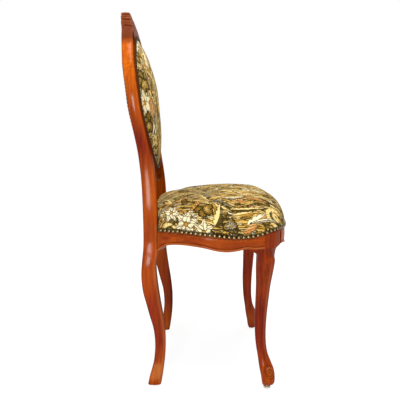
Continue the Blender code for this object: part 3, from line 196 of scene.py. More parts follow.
# Oval back
OVAL_RISE = 0.308
OVAL_HALF_WIDTH = 0.184
OVAL_HALF_HEIGHT = 0.213
RING_FACE = 0.035
RING_DEPTH = 0.030
REBATE_WIDTH = 0.012
FRONT_REBATE = 0.008
REAR_REBATE = 0.005
FULL_REBATE = 0.004
REBATE_LIP = 0.0012
RING_ROUND = 0.0080
RING_INNER_ROUND = 0.0004
POST_INNER_ROUND = 0.006
MEMBER_BULGE = 0.0005
RING_GROOVE_DEPTH = 0.0011
RING_GROOVE_INSET = 0.0125
JOINT_OVERLAP = math.radians(14)
CARVED_FROM = math.radians(58)
CARVED_TO = math.radians(122)
LOWER_JOINT_X = OVAL_HALF_WIDTH - 0.066
POST_WAIST = 0.011
POST_NECK_RISE = 0.085
BACK_LINE = (
    # rise above the rail, distance of the ring's middle behind the middle of the post
    (-0.05, 0.0), (0.0, 0.0), (0.09, 0.0026), (0.164, 0.0108), (0.232, 0.0235), (0.289, 0.0352),
    (0.332, 0.042), (0.38, 0.0475), (0.425, 0.052), (0.46, 0.0565), (0.50, 0.0635), (0.56, 0.0765),
)
BACK_SET = ((0.05, 0.0), (0.16, 0.0026), (0.25, 0.0032), (0.295, 0.0024), (0.335, 0.0012),
            (0.375, 0.0024), (0.41, 0.0038), (0.50, 0.0018), (0.56, 0.0))
OVAL_CENTRE_Z = RAIL_TOP + OVAL_RISE
CREST_JOINT_Z = OVAL_CENTRE_Z + 0.080
POST_MIDDLE_Y = (POST_FRONT_Y + POST_REAR_Y) / 2
PANEL_HALF_WIDTH = OVAL_HALF_WIDTH - RING_FACE
PANEL_HALF_HEIGHT = OVAL_HALF_HEIGHT - RING_FACE
OPENING_HALF_WIDTH = PANEL_HALF_WIDTH - REBATE_WIDTH
OPENING_HALF_HEIGHT = PANEL_HALF_HEIGHT - REBATE_WIDTH
FRONT_FACE = -RING_DEPTH / 2
REAR_FACE = RING_DEPTH / 2

# Carved crest: height of the lobes above the oval, by degrees from the middle
CREST_LOBES = (
    (0.0, 0.028), (4.0, 0.0277), (6.2, 0.0240), (7.6, 0.0172), (9.2, 0.0192), (12.0, 0.0180), (14.2, 0.0132),
    (15.6, 0.0078), (17.2, 0.0092), (20.5, 0.0080), (24.0, 0.0036), (28.0, 0.0008), (31.0, 0.0),
)
CREST_REACH = 31.0
CREST_LOBE_RISE = 0.028
CREST_LEAN = 0.0068
CREST_GROOVES = (7.6, 15.6, 25.0)
CREST_VEINS = (2.6, 5.0, 10.4, 12.8, 18.6, 21.6)
GROOVE_DEPTH = 0.0030
VEIN_DEPTH = 0.0012

# Upholstery
CROWN_HEIGHT = RAIL_TOP + 0.0790
CROWN_Y = -0.105
PATTERN_Y = -0.064
FRONT_FULLNESS = 2.08
SIDE_FULLNESS = 2.3
REAR_FULLNESS = 6.0
REAR_FALL = 0.0275
COVER_OUT = 0.0023
COVER_BELOW_NAILS = 0.003
COVER_EDGE_ABOVE_NAILS = 0.001
BACK_CROWN = 0.0375
BACK_CROWN_RISE = 0.032
OUTSIDE_CROWN = 0.003
COVER_THICKNESS = 0.0016
# share of the way out from which the cloth is held, pressure and farthest move
SEAT_SWELLING = (0.965, 4.0, 0.0030)
BACK_SWELLING = (0.97, 3.0, 0.0025)
SWELL_FRAMES = 20
TRIM_WIDTH = 0.007
NAILS_FROM_POST = 0.006
REAR_NAILS_FROM_POST = 0.008
GLIDE_PROFILE = (
    # share of the radius, height
    (0.0, 0.0), (0.80, 0.0), (0.90, 0.0004), (0.98, 0.0012), (1.0, 0.0024), (0.98, 0.0038), (0.94, 0.0040),
)
GLIDE_PIN = 0.0015

# Camera and lamps: place, width, height and watts of each lamp
CAMERA_PLACE = (-1.4662, 0.015, 0.6510)
CAMERA_PITCH = math.radians(7.593)
CAMERA_LENS = 47.05
CAMERA_SENSOR = 36.0
LAMPS = (
    ("key", (-0.8, -0.35, 3.0), 1.2, 1.2, 50.0),
    ("window", (-2.7, 0.48, 0.85), 0.46, 0.60, 25.0),
    ("far_side", (2.0, -1.4, 1.8), 1.6, 1.6, 10.0),
)
LAMP_AIM = (0.0, 0.0, 0.5)
WHITE = (1.0, 1.0, 1.0, 1.0)
DAYLIGHT = 0.60
FLOOR_GLOW = 1.30
FLOOR_GLOW_SHARE = 0.62


# Curves
def smooth(points, place, column=1):
    """Value at a place on the smooth curve through points whose first column rises."""
    last = len(points) - 1
    index = 0
    while index < last - 1 and place > points[index + 1][0]:
        index += 1
    start, end = points[index], points[index + 1]
    before = points[max(index - 1, 0)]
    after = points[min(index + 2, last)]
    span = end[0] - start[0]
    share = min(max((place - start[0]) / span, 0.0), 1.0)
    slope_in = (end[column] - before[column]) / (end[0] - before[0]) * span
    slope_out = (after[column] - start[column]) / (after[0] - start[0]) * span
    square, cube = share ** 2, share ** 3
    return (start[column] * (2 * cube - 3 * square + 1) + slope_in * (cube - 2 * square + share)
            + end[column] * (3 * square - 2 * cube) + slope_out * (cube - square))


def curve(points, places, column=1):
    return np.array([smooth(points, place, column) for place in np.atleast_1d(places)])


def ease(value, low, high):
    """Smooth step from 0 at low to 1 at high."""
    share = np.clip((np.asarray(value, float) - low) / (high - low), 0.0, 1.0)
    return share * share * (3 - 2 * share)


def bell(value, width):
    """Bell curve with 1 at 0."""
    return np.exp(-(value / width) ** 2)


def between(places, known, rows):
    """Rows at places between known ones."""
    return np.stack([np.interp(places, known, column) for column in rows.T], axis=-1)


def lengths_along(points):
    """Distances of points along their line from its start."""
    return np.concatenate([[0.0], np.cumsum(np.linalg.norm(np.diff(points, axis=0), axis=1))])


def plan_line():
    """Plan of the rails' outer face: shares, points and outward normals."""
    lengths = [0.0]
    for near, far in zip(PLAN_POINTS, PLAN_POINTS[1:]):
        lengths.append(lengths[-1] + math.dist(near, far))
    spread = [(length / lengths[-1], *point) for length, point in zip(lengths, PLAN_POINTS)]
    shares = np.linspace(0.0, 1.0, PLAN_STEPS + 1)
    points = np.stack([curve(spread, shares, 1), curve(spread, shares, 2)], axis=1)
    along = np.gradient(points, axis=0)
    along[-1] = (-1.0, 0.0)
    along /= np.linalg.norm(along, axis=1)[:, None]
    return shares, points, np.stack([-along[:, 1], along[:, 0]], axis=1)


PLAN_SHARES, PLAN, PLAN_NORMALS = plan_line()
PLAN_WIDEST = int(np.argmax(PLAN[:, 0]))


def plan_at(shares, outward=0.0):
    """Points of the plan at shares, moved outwards."""
    return between(shares, PLAN_SHARES, PLAN + PLAN_NORMALS * outward)


def plan_normal(shares):
    found = between(shares, PLAN_SHARES, PLAN_NORMALS)
    return found / np.linalg.norm(found, axis=-1)[..., None]


def share_where(axis, value, front=False):
    """Share of the plan where it crosses a coordinate, on the side or past the widest point."""
    past = front or axis == 1 and value < PLAN[PLAN_WIDEST, 1]
    part = slice(PLAN_WIDEST if past else 0, None)
    return float(np.interp(-value, -PLAN[part, axis], PLAN_SHARES[part]))


def nail_height(shares):
    return RAIL_TOP - curve(NAIL_LINE, shares)


def rail_low(shares):
    return RAIL_TOP - curve(RAIL_DEPTH, shares)


def back_set(heights):
    """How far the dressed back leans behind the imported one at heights."""
    return curve(BACK_SET, np.asarray(heights) - RAIL_TOP)


def back_y(heights):
    """Middle of the back frame's depth at heights."""
    return POST_MIDDLE_Y + curve(BACK_LINE, np.asarray(heights) - RAIL_TOP) + back_set(heights)


def oval_half(half_width, half_height, heights):
    """Half width of an oval of the back at heights, nothing above and below it."""
    rise = (np.asarray(heights) - OVAL_CENTRE_Z) / half_height
    return half_width * np.sqrt(np.maximum(1.0 - rise ** 2, 0.0))


# Meshes
def face_outwards(bm):
    """Turn the faces of an open skin to the side to which it bulges."""
    bmesh.ops.recalc_face_normals(bm, faces=bm.faces)
    middle = sum((vert.co for vert in bm.verts), Vector()) / len(bm.verts)
    edge = [vert.co for vert in bm.verts if vert.is_boundary]
    bulge = middle - sum(edge, Vector()) / len(edge)
    bm.normal_update()
    facing = sum((face.normal * face.calc_area() for face in bm.faces), Vector())
    if facing.dot(bulge) < 0:
        bmesh.ops.reverse_faces(bm, faces=bm.faces)


def finished(name, bm, material, nodes, sharp):
    """Piece from a bmesh, sharp at edges over an angle, riding on the chair and standing for its nodes."""
    if any(edge.is_boundary for edge in bm.edges):
        face_outwards(bm)
    else:
        bmesh.ops.recalc_face_normals(bm, faces=bm.faces)
    mesh = bpy.data.meshes.new(name)
    bm.to_mesh(mesh)
    bm.free()
    mesh.materials.append(material)
    mesh.shade_smooth()
    mesh.set_sharp_from_angle(angle=math.radians(sharp))
    piece = bpy.data.objects.new(name, mesh)
    bpy.context.scene.collection.objects.link(piece)
    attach(piece, BODY)
    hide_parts(*nodes)
    return piece


def skin(table, ends=True, bm=None):
    """Grid wrapped onto a table of points, rows along the piece and columns round it."""
    rows, columns = table.shape[:2]
    bm = bm or bmesh.new()
    made = bmesh.ops.create_grid(bm, x_segments=columns, y_segments=rows - 1, size=0.5)["verts"]
    for vert in made:
        column = round((vert.co.x + 0.5) * columns) % columns
        row = round((vert.co.y + 0.5) * (rows - 1))
        vert.co = table[row, column]
    bmesh.ops.remove_doubles(bm, verts=made, dist=1e-6)
    if ends:
        bmesh.ops.holes_fill(bm, edges=[edge for edge in bm.edges if edge.is_boundary])
    return bm


def mirrored(table, side):
    return table * np.array((side, 1.0, 1.0))


def points_of(mesh):
    flat = np.zeros(len(mesh.vertices) * 3, np.float32)
    mesh.vertices.foreach_get("co", flat)
    return flat.reshape(-1, 3)


def arc(middle, radius, start, end, count):
    """Points round an arc in a section, angles in degrees."""
    angles = np.radians(np.linspace(start, end, count))
    return [(middle[0] + radius * math.cos(a), middle[1] + radius * math.sin(a)) for a in angles]


# Wood sections
def frame_section(width, rebate, front, rear, outer_round, inner_round):
    """Section of a post or ring member as (across from its inner side, depth), front to rear."""
    deep = min(1.0, rebate / FULL_REBATE)
    front_floor = front + FRONT_REBATE * deep
    rear_floor = rear - REAR_REBATE * deep
    lip = max(rebate, inner_round)
    section = [(0.0, front_floor + inner_round), (inner_round * 0.3, front_floor + inner_round * 0.3)]
    section += [(max(rebate, inner_round * 0.8), front_floor), (lip, front + REBATE_LIP * deep)]
    start = lip + REBATE_LIP
    for share in np.linspace(0.0, 1.0, 11):
        across = start + (width - outer_round - start) * share
        section.append((across, front - MEMBER_BULGE * 4 * share * (1 - share)))
    section += arc((width - outer_round, front + outer_round), outer_round, -90, 0, 7)[1:]
    for share in np.linspace(0.0, 1.0, 9)[1:-1]:
        depth = front + outer_round + (rear - front - 2 * outer_round) * share
        section.append((width + MEMBER_BULGE * 4 * share * (1 - share), depth))
    section += arc((width - outer_round, rear - outer_round), outer_round, 0, 90, 7)
    for share in np.linspace(1.0, 0.0, 7)[1:]:
        section.append((start + (width - outer_round - start) * share, rear))
    section += [(lip, rear - REBATE_LIP * deep), (max(rebate, inner_round * 0.8), rear_floor)]
    section += [(inner_round * 0.3, rear_floor - inner_round * 0.3), (0.0, rear_floor - inner_round)]
    return np.array(section)


def edge_wear(section, width, front):
    """Rubbed finish along the outer front edge of a member, partly a painted highlight on that rounded edge.
    """
    corner = np.hypot(width - section[:, 0], section[:, 1] - front)
    return bell(corner - 0.0037, 0.0022)


def face_glaze(section, width, front):
    """Painted shade on the inner part of a ring member's front face."""
    on_front = 1 - ease(section[:, 1], front + 0.003, front + 0.0075)
    return FACE_PAINTED_SHADE * on_front * ease(width - section[:, 0], 0.0015, 0.006)


def ring_groove(across, width, depth, front):
    """How deep the moulding's groove is in the front face, across a ring member."""
    on_front = depth < front + 0.004
    return np.where(on_front, bell(width - across - RING_GROOVE_INSET, 0.0016), 0.0)


# Rear legs
def rear_leg_shades(section, width, front, z, ringed):
    """Glaze with painted shade, rubbed finish with a painted highlight, and tone with painted light, round a
    rear leg's section at a height.
    """
    across = section[:, 0]
    share = z / RAIL_TOP
    # painted shade on the inner faces and on the ring's front face
    glaze = np.maximum(0.12 * (1 - ease(across, 0.002, 0.010)),
                       face_glaze(section, width, front) * (0.35 + 0.65 * ringed))
    # painted shade on the posts' inner faces above the seat
    if share >= 1.0:
        glaze = np.maximum(glaze, POST_INNER_PAINTED_SHADE * (1 - ringed) * (1 - ease(across, 0.005, 0.011)))
    worn = (RING_EDGE_WEAR if share > 1.0 else LEG_EDGE_WEAR_AND_HIGHLIGHT) * edge_wear(section, width, front)
    # painted highlight: a pale patch on the outer face of the foot
    foot_highlight = FOOT_PAINTED_HIGHLIGHT * float(ease(z, 0.014, 0.024) - ease(z, 0.052, 0.064))
    worn = np.maximum(worn, foot_highlight * ease(across - width, -0.0025, -0.0008))
    # painted light on the leg's inner faces below the rail
    inward = 1 - ease(across, 0.001, 0.006)
    return glaze, worn, smooth(REAR_LEG_STAIN_AND_PAINTED_LIGHT, z) + INNER_FACE_PAINTED_LIGHT * inward * (share < 1.0)


def joint_height(half_width, half_height):
    """Height at which the lower joint crosses an oval of the back."""
    return OVAL_CENTRE_Z - half_height * math.sqrt(1 - (LOWER_JOINT_X / half_width) ** 2)


def rear_leg_table():
    """Points of the rear leg with the post and the side of the ring, and their shades."""
    lower_top = joint_height(OPENING_HALF_WIDTH, OPENING_HALF_HEIGHT)
    lower_foot = joint_height(OVAL_HALF_WIDTH, OVAL_HALF_HEIGHT)
    neck = RAIL_TOP + POST_NECK_RISE
    heights = np.concatenate([np.linspace(FOOT_Z, RAIL_TOP, 120)[:-1],
                              np.linspace(RAIL_TOP, CREST_JOINT_Z - GAP / 2, 150)])
    middles = back_y(heights)
    openings = oval_half(OPENING_HALF_WIDTH, OPENING_HALF_HEIGHT, heights)
    panels = oval_half(PANEL_HALF_WIDTH, PANEL_HALF_HEIGHT, heights)
    outers = oval_half(OVAL_HALF_WIDTH, OVAL_HALF_HEIGHT, heights)
    rows, glaze, worn, tone = [], [], [], []
    for z, middle, opening, panel, oval in zip(heights, middles, openings, panels, outers):
        rise = min(max((z - RAIL_TOP) / OVAL_RISE, 0.0), 1.0)
        share = z / RAIL_TOP
        half = ((POST_REAR_Y - POST_FRONT_Y) * (1 - rise) + RING_DEPTH * rise) / 2
        front, rear = middle - half, middle + half
        inner, outer = POST_INNER_X, POST_OUTER_X
        if share < 1.0:
            front = POST_FRONT_Y + (0.0 if share > REAR_BLOCK_SHARE else smooth(REAR_LEG_FRONT, share))
            rear = POST_REAR_Y + smooth(REAR_LEG_REAR, share)
            inner += max(smooth(REAR_LEG_LATERAL, share, 1), 0.0)
            outer += max(smooth(REAR_LEG_LATERAL, share, 2), 0.0)
        elif z >= OVAL_CENTRE_Z:
            outer = oval
        else:
            outer += (OVAL_HALF_WIDTH - POST_OUTER_X) * rise - POST_WAIST * math.sin(math.pi * rise) ** 2
        if share >= 1.0:
            rear += max(smooth(POST_SWELL, z - RAIL_TOP), 0.0)
        if z > lower_top:
            inner = opening
        elif z > lower_foot:
            inner = LOWER_JOINT_X
        elif z > neck:
            inner += (LOWER_JOINT_X - POST_INNER_X) * ((z - neck) / (lower_foot - neck)) ** 2
        rebate = max(panel - inner, 0.0) if z > lower_foot else 0.0
        ringed = float(ease(z, lower_foot, lower_top))
        inner_round = POST_INNER_ROUND * (1 - ringed) + RING_INNER_ROUND
        middle, width = (front + rear) / 2, outer - inner
        front, rear = front - middle, rear - middle
        section = frame_section(width, rebate, front, rear, RING_ROUND, inner_round)
        groove = ring_groove(section[:, 0], width, section[:, 1], front) * ringed
        section[:, 1] += RING_GROOVE_DEPTH * groove
        rows.append([(inner + across, middle + depth, z) for across, depth in section])
        inside, rubbed, light = rear_leg_shades(section, width, front, z, ringed)
        # the last term makes the wood darker towards the floor
        glaze.append(np.maximum(groove, inside) + 0.35 * (1 - float(ease(z, 0.004, 0.016))))
        worn.append(rubbed)
        tone.append(light)
    shades = {"glaze": np.clip(glaze, 0.0, 1.0), "worn": np.array(worn), "tone": np.array(tone)}
    return np.array(rows), shades


# Front legs
def block_reach():
    """Corner block of the front leg as its middle, half size and reach by angle."""
    start, end = share_where(1, LEG_JOINT_Y), share_where(0, LEG_INNER_X, front=True)
    run = plan_at(np.linspace(start, end, 160))
    corner = np.array((LEG_INNER_X, LEG_JOINT_Y))
    rear_side = corner + (run[0] - corner) * np.linspace(0, 1, 40)[:, None]
    inner_side = run[-1] + (corner - run[-1]) * np.linspace(0, 1, 40)[:, None]
    outline = np.concatenate([run, inner_side[1:], rear_side[1:-1]])
    low, high = outline.min(0), outline.max(0)
    middle, half = (low + high) / 2, (high - low) / 2
    unit = (outline - middle) / half
    angles = np.arctan2(unit[:, 1], unit[:, 0])
    order = np.argsort(angles)
    return middle, half, angles[order], np.linalg.norm(unit, axis=1)[order]


def toe_carving(across, z):
    """Carved whorl on the toe with two grooves above it: cut and rubbed shares at distances across it."""
    rise = (z - WHORL_Z) * 0.75
    reach = np.hypot(across, rise)
    turn = np.arctan2(rise, across)
    spiral = 0.5 - 0.5 * np.cos(turn - 2 * math.pi * reach / WHORL_PITCH)
    disc = 1 - ease(reach, WHORL_RADIUS * 0.8, WHORL_RADIUS)
    rim = bell(reach - WHORL_RADIUS, 0.0016)
    stems = bell(np.abs(across) - 0.0034, 0.0013)
    stems = stems * ease(z, 0.056, 0.064) * (1 - ease(z, 0.085, 0.110))
    cut = np.maximum(np.maximum(spiral * disc, rim), 0.8 * stems) * ease(z, 0.010, 0.018)
    return cut, (1 - spiral) * disc * ease(z, 0.010, 0.018)


def front_leg_table():
    """Points of the front leg from its toe to its corner block, and their shades."""
    columns = 96
    middle, half, known, reach = block_reach()
    angles = np.linspace(-math.pi, math.pi, columns, endpoint=False)
    angles[np.argmin(np.abs(angles - RIDGE_ANGLE))] = RIDGE_ANGLE
    round_trip = np.stack([np.cos(angles), np.sin(angles)], axis=1)
    block = np.interp(angles, known, reach, period=2 * math.pi)
    power = LEG_ROUNDNESS
    round_reach = (np.abs(np.cos(angles)) ** power + np.abs(np.sin(angles)) ** power) ** (-1 / power)
    away = np.abs(np.angle(np.exp(1j * (angles - RIDGE_ANGLE))))
    toe_away = np.angle(np.exp(1j * (angles - TOE_ANGLE)))
    block_low, block_high = middle - half, middle + half
    outline = middle + round_trip * block[:, None] * half
    nearest = np.argmin(np.linalg.norm(PLAN[None] - outline[:, None], axis=2), axis=1)
    on_face = np.linalg.norm(PLAN[nearest] - outline, axis=1) < 0.0015
    ledge = nail_height(PLAN_SHARES[nearest]) - LEDGE_BELOW_NAILS
    shelf = float(rail_low(share_where(1, LEG_JOINT_Y))[0])
    top = (0.0, block_high[0] - SEAT_HALF_WIDTH, block_low[1] - SEAT_FRONT_Y, 0.0)
    sides = (*FRONT_LEG_SIDES, (LEG_BLOCK_SHARE, *top), (1.01, *top))
    heights = np.concatenate([np.linspace(FOOT_Z, 0.112, 90), np.linspace(0.112, 0.30, 50)[1:],
                              np.linspace(0.30, RAIL_TOP, 81)[1:]])
    heights = np.sort(np.append(heights, (shelf - 0.0002, shelf + 0.0002)))
    table, glaze, worn, tone = [], [], [], []
    for z in heights:
        share = 0.01 + (z - FOOT_Z) / (RAIL_TOP - FOOT_Z)
        shift = top
        if share < LEG_BLOCK_SHARE:
            shift = [smooth(sides, share, column) for column in (1, 2, 3, 4)]
        low = np.array((LEG_INNER_X + shift[0], SEAT_FRONT_Y + shift[2]))
        high = np.array((SEAT_HALF_WIDTH + shift[1], LEG_JOINT_Y if z > shelf else LEG_REAR_Y + shift[3]))
        squared = float(ease(share, LEG_BLOCK_SHARE - 0.14, LEG_BLOCK_SHARE))
        low[1] -= LEG_FULLNESS * (1 - squared)
        high[1] += LEG_FULLNESS * (1 - squared)
        shape = round_reach * (1 - squared) + block * squared
        ridge = float(ease(share, 0.10, 0.22)) * (1 - float(ease(share, 0.72, 0.88)))
        shape = shape * (1 + ridge * RIDGE_HEIGHT * np.exp(-away / 0.22))
        unit = round_trip * shape[:, None]
        unit = (unit - (unit.max(0) + unit.min(0)) / 2) / ((unit.max(0) - unit.min(0)) / 2)
        centre, size = (low + high) / 2, (high - low) / 2
        outward = round_trip / size
        outward /= np.linalg.norm(outward, axis=1)[:, None]
        step = LEDGE_OUT * squared * (1 - ease(z, ledge - 0.0012, ledge + 0.0004))
        bevel = max(z - (RAIL_TOP - RAIL_TOP_BEVEL), 0.0)
        out = np.where(on_face, step - bevel, 0.0)
        cut, rubbed = toe_carving(toe_away * size[1], z)
        out = out - WHORL_DEPTH * cut * (np.abs(toe_away) < 1.4)
        points = centre + unit * size + outward * out[:, None]
        table.append(np.column_stack([points, np.full(columns, z)]))
        seam = SEAM_GLAZE * (np.abs(points[:, 1] - LEG_JOINT_Y) < 0.0006) * (z > shelf)
        # the last term makes the wood darker towards the floor
        glaze.append(np.maximum(seam, 0.55 * cut) + 0.3 * (1 - float(ease(z, 0.004, 0.014))))
        # rubbed finish and painted highlight along the ridge, and rubbed highs of the carving
        worn.append(0.45 * ridge * np.exp(-away / 0.07) + 0.55 * rubbed)
        # painted light on the faces turned to the front beside the ridge
        lit = ease(-angles, -RIDGE_ANGLE - 0.05, -RIDGE_ANGLE + 0.35) * (angles > -2.2)
        tone.append(smooth(FRONT_LEG_TONE, z) + RIDGE_PAINTED_LIGHT * ridge * lit)
    glaze, worn = np.clip(glaze, 0.0, 1.0), np.clip(worn, 0.0, 1.0)
    return np.array(table), {"glaze": glaze, "worn": worn, "tone": np.array(tone)}


def knee_bracket_table():
    """Bracket glued under the side rail behind the front leg, deepening towards it."""
    start, end = share_where(1, LEG_REAR_Y + KNEE_BRACKET_LENGTH), share_where(1, LEG_REAR_Y + GAP)
    shares = np.linspace(start, end, 22)
    points, normals, lows = plan_at(shares), plan_normal(shares), rail_low(shares)
    table = []
    for place, point, normal, low in zip(np.linspace(0.0, 1.0, 22), points, normals, lows):
        top = low - GAP
        foot = top - 0.0012 - KNEE_BRACKET_DROP * place ** 2.2
        section = [(-0.020, top), (-0.020, foot), (-0.004, foot), (-0.0018, foot + 0.0004)]
        section += [(-0.0012, foot + 0.0012), (-0.0012, top)]
        table.append([(*(point + normal * out), z) for out, z in section])
    return np.array(table)


# Seat rails
def rail_section(low, nails):
    """Section of a show rail as (outward, height), with a bead below and a ledge under the nails."""
    ledge = nails - LEDGE_BELOW_NAILS
    bead = RAIL_BEAD
    face_low = low + 2 * bead + 0.0022
    section = [(-RAIL_THICKNESS, low + 0.0015), (-RAIL_THICKNESS + 0.0015, low), (-0.004, low)]
    section += arc((LEDGE_OUT * 0.6, low + bead), bead, -90, 80, 9)
    section += [(LEDGE_OUT * 0.25, low + 2 * bead + 0.0008)]
    for share in np.linspace(0.0, 1.0, 9):
        bulge = FACE_BULGE * 4 * share * (1 - share)
        section.append((LEDGE_OUT + bulge, face_low + (ledge - 0.0016 - face_low) * share))
    section += arc((LEDGE_OUT - 0.0014, ledge - 0.0014), 0.0014, 20, 90, 4)
    section += [(-0.0002, ledge), (-0.0002, (ledge + RAIL_TOP) / 2), (-0.0002, RAIL_TOP - RAIL_TOP_BEVEL)]
    section += [(-RAIL_TOP_BEVEL, RAIL_TOP), (-RAIL_THICKNESS, RAIL_TOP)]
    return np.array(section)


def rail_table(shares):
    """Points of a show rail at shares of the plan, and their shades."""
    points, normals = plan_at(shares), plan_normal(shares)
    table, glaze, worn = [], [], []
    for point, normal, low, nails in zip(points, normals, rail_low(shares), nail_height(shares)):
        section = rail_section(low, nails)
        table.append([(*(point + normal * out), z) for out, z in section])
        out, z = section.T
        glaze.append(0.8 * (np.abs(out - LEDGE_OUT * 0.25) < 1e-6))
        bead = (z < low + 2 * RAIL_BEAD) & (out > LEDGE_OUT * 0.6)
        shoulder = (np.abs(z - nails + LEDGE_BELOW_NAILS) < 0.0012) & (out > 0.0004)
        worn.append(0.40 * bead + 0.45 * shoulder)
    glaze = np.array(glaze)
    glaze[[0, -1]] = SEAM_GLAZE
    return np.array(table), {"glaze": glaze, "worn": np.array(worn)}


# Ring of the back
def crest_relief(away, across, width, depth):
    """Depth of the carving in the crest, on its front and round its outer edge."""
    reach = across / width
    cut = sum(bell(away - groove, 0.75) for groove in CREST_GROOVES)
    fine = sum(bell(away - vein, 0.40) for vein in CREST_VEINS)
    outwards = ease(reach, 0.34, 0.66)
    front = 1 - ease(depth, REAR_FACE - 0.010, REAR_FACE - 0.002)
    fade = 1 - ease(away, CREST_REACH - 4.0, CREST_REACH)
    fan = 0.5 * bell(reach - 0.30, 0.035) * (away < CREST_REACH - 4.0)
    return (GROOVE_DEPTH * cut + VEIN_DEPTH * fine) * outwards * front * fade + 0.0012 * fan * front


def ring_table(angles, carved):
    """Points of a member of the oval ring at angles, and their shades."""
    table, glaze, worn = [], [], []
    for angle in angles:
        away = abs(math.degrees(angle) - 90.0)
        extra = max(smooth(CREST_LOBES, away), 0.0) if carved and away < CREST_REACH else 0.0
        turn = np.array((math.cos(angle), math.sin(angle)))
        inner = np.array((OPENING_HALF_WIDTH, OPENING_HALF_HEIGHT)) * turn
        panel = np.array((PANEL_HALF_WIDTH, PANEL_HALF_HEIGHT)) * turn
        outer = np.array((OVAL_HALF_WIDTH + extra, OVAL_HALF_HEIGHT + extra)) * turn
        width = float(np.linalg.norm(outer - inner))
        rebate = float(np.linalg.norm(panel - inner))
        crisp = min(extra / 0.010, 1.0)
        outer_round = RING_ROUND - 0.0056 * crisp
        section = frame_section(width, rebate, FRONT_FACE, REAR_FACE, outer_round, RING_INNER_ROUND)
        plain = 1 - float(ease(-away, -33.0, -28.0)) if carved else 1.0
        lean = CREST_LEAN * min(extra / CREST_LOBE_RISE, 1.0) * ease(section[:, 0] / width, 0.35, 1.0)
        section[:, 1] += np.where(section[:, 1] < 0, lean, 0.0)
        groove = ring_groove(section[:, 0], width, section[:, 1], FRONT_FACE) * plain
        section[:, 1] += RING_GROOVE_DEPTH * groove
        cut = crest_relief(away, section[:, 0], width, section[:, 1]) if carved else np.zeros(len(section))
        near_front = section[:, 1] < FRONT_FACE + 0.008
        section[:, 1] += np.where(near_front, cut, 0.0)
        section[:, 0] -= np.where(section[:, 0] > width - 0.009, cut, 0.0)
        way = (outer - inner) / width
        places = inner + section[:, :1] * way
        z = OVAL_CENTRE_Z + places[:, 1]
        table.append(np.column_stack([places[:, 0], back_y(z) + section[:, 1], z]))
        # painted shade on the inner part of the front face
        face = face_glaze(section, width, FRONT_FACE) * plain
        glaze.append(np.clip(cut / GROOVE_DEPTH, 0, 1) * 0.9 + np.maximum(groove, face))
        raised = np.clip(1 - 2.5 * cut / VEIN_DEPTH, 0, 1) * crisp * ease(section[:, 0] / width, 0.7, 0.95)
        worn.append(RING_EDGE_WEAR * edge_wear(section, width, FRONT_FACE) + 0.25 * raised)
    return np.array(table), {"glaze": np.clip(glaze, 0.0, 1.0), "worn": np.clip(worn, 0.0, 1.0)}


def cut_level(bm, point, normal):
    """Cut a body at a plane, drop what lies ahead of the normal and close it."""
    geom = list(bm.verts) + list(bm.edges) + list(bm.faces)
    bmesh.ops.bisect_plane(bm, geom=geom, dist=1e-7, plane_co=point, plane_no=normal, clear_outer=True)
    bmesh.ops.holes_fill(bm, edges=[edge for edge in bm.edges if edge.is_boundary])


def layered(bm, table, **shades):
    """Keep shades of a table's points, such as the glaze, in layers of the bmesh."""
    spread = [np.broadcast_to(values, table.shape[:2]).ravel() for values in shades.values()]
    known = dict(zip(map(tuple, np.float32(table.reshape(-1, 3))), zip(*spread)))
    usual = [float(np.mean(values)) for values in spread]
    layers = [bm.verts.layers.float.new(name) for name in shades]
    for vert in bm.verts:
        for layer, value in zip(layers, known.get(tuple(np.float32(vert.co)), usual)):
            vert[layer] = value
    return bm


# Pads
def seat_outline(out):
    """Loop round the seat from its rear middle past the left side, with the heights of its nails."""
    rear = POST_REAR_Y - REAR_RAIL_SETBACK + out
    notch = np.array((POST_INNER_X - GAP - 0.0006, POST_FRONT_Y - GAP - 0.0006))
    shares = np.linspace(share_where(1, notch[1]), 1.0, 420)
    side = plan_at(shares, out)
    side = side[side[:, 1] < notch[1]]
    nails = nail_height(shares)[-len(side):]
    rear_run = np.column_stack([np.linspace(0.0, notch[0], 80), np.full(80, rear)])
    notch_run = np.column_stack([np.full(16, notch[0]), np.linspace(rear, notch[1], 17)[1:]])
    lead = notch + (side[0] - notch) * np.linspace(0, 1, 18)[1:-1, None]
    half = np.concatenate([rear_run, notch_run, lead, side])
    level = np.concatenate([np.full(80, RAIL_TOP - REAR_NAIL_LINE), np.full(16, RAIL_TOP + 0.004),
                            np.linspace(RAIL_TOP + 0.004, nails[0], 16), nails])
    other = half[1:-1][::-1] * np.array((-1.0, 1.0))
    return np.concatenate([half, other]), np.concatenate([level, level[1:-1][::-1]])


def seat_dome(out, shrink, columns=900, rows=150):
    """Table of the seat from its crown to the lower edge of its cover, with evenly spaced rows."""
    outline, nails = seat_outline(out)
    closed = np.concatenate([outline, outline[:1]])
    lengths = lengths_along(closed)
    places = np.linspace(0.0, lengths[-1], columns, endpoint=False)
    ring = between(places, lengths, closed)
    nail = np.interp(places, lengths, np.concatenate([nails, nails[:1]]))
    crown = np.array((0.0, CROWN_Y))
    away = ring - crown
    heading = away / np.linalg.norm(away, axis=1)[:, None]
    end = np.where(heading[:, 1] > 0, REAR_FULLNESS, FRONT_FULLNESS)
    power = 2 / (SIDE_FULLNESS + (end - SIDE_FULLNESS) * heading[:, 1] ** 2)
    edge = nail + COVER_EDGE_ABOVE_NAILS
    turns = np.linspace(math.pi / 2, 0.0, 120)
    share = np.cos(turns)[:, None] ** power
    share[0] = 0.0
    rise = np.sin(turns)[:, None] ** power
    plan = crown + away * share[..., None] * (1 - shrink * rise[..., None])
    fall = REAR_FALL * np.maximum(heading[:, 1], 0.0) ** 2 * ease(share, 0.0, 0.96)
    height = edge + (CROWN_HEIGHT - fall - edge) * rise
    drop = np.linspace(0.0, 1.0, 9)[1:, None]
    low = nail - COVER_BELOW_NAILS
    skirt = np.dstack([np.repeat(ring[None], len(drop), axis=0), edge + (low - edge) * drop])
    full = np.concatenate([np.dstack([plan, height]), skirt])
    return even_rows(full, rows), heading


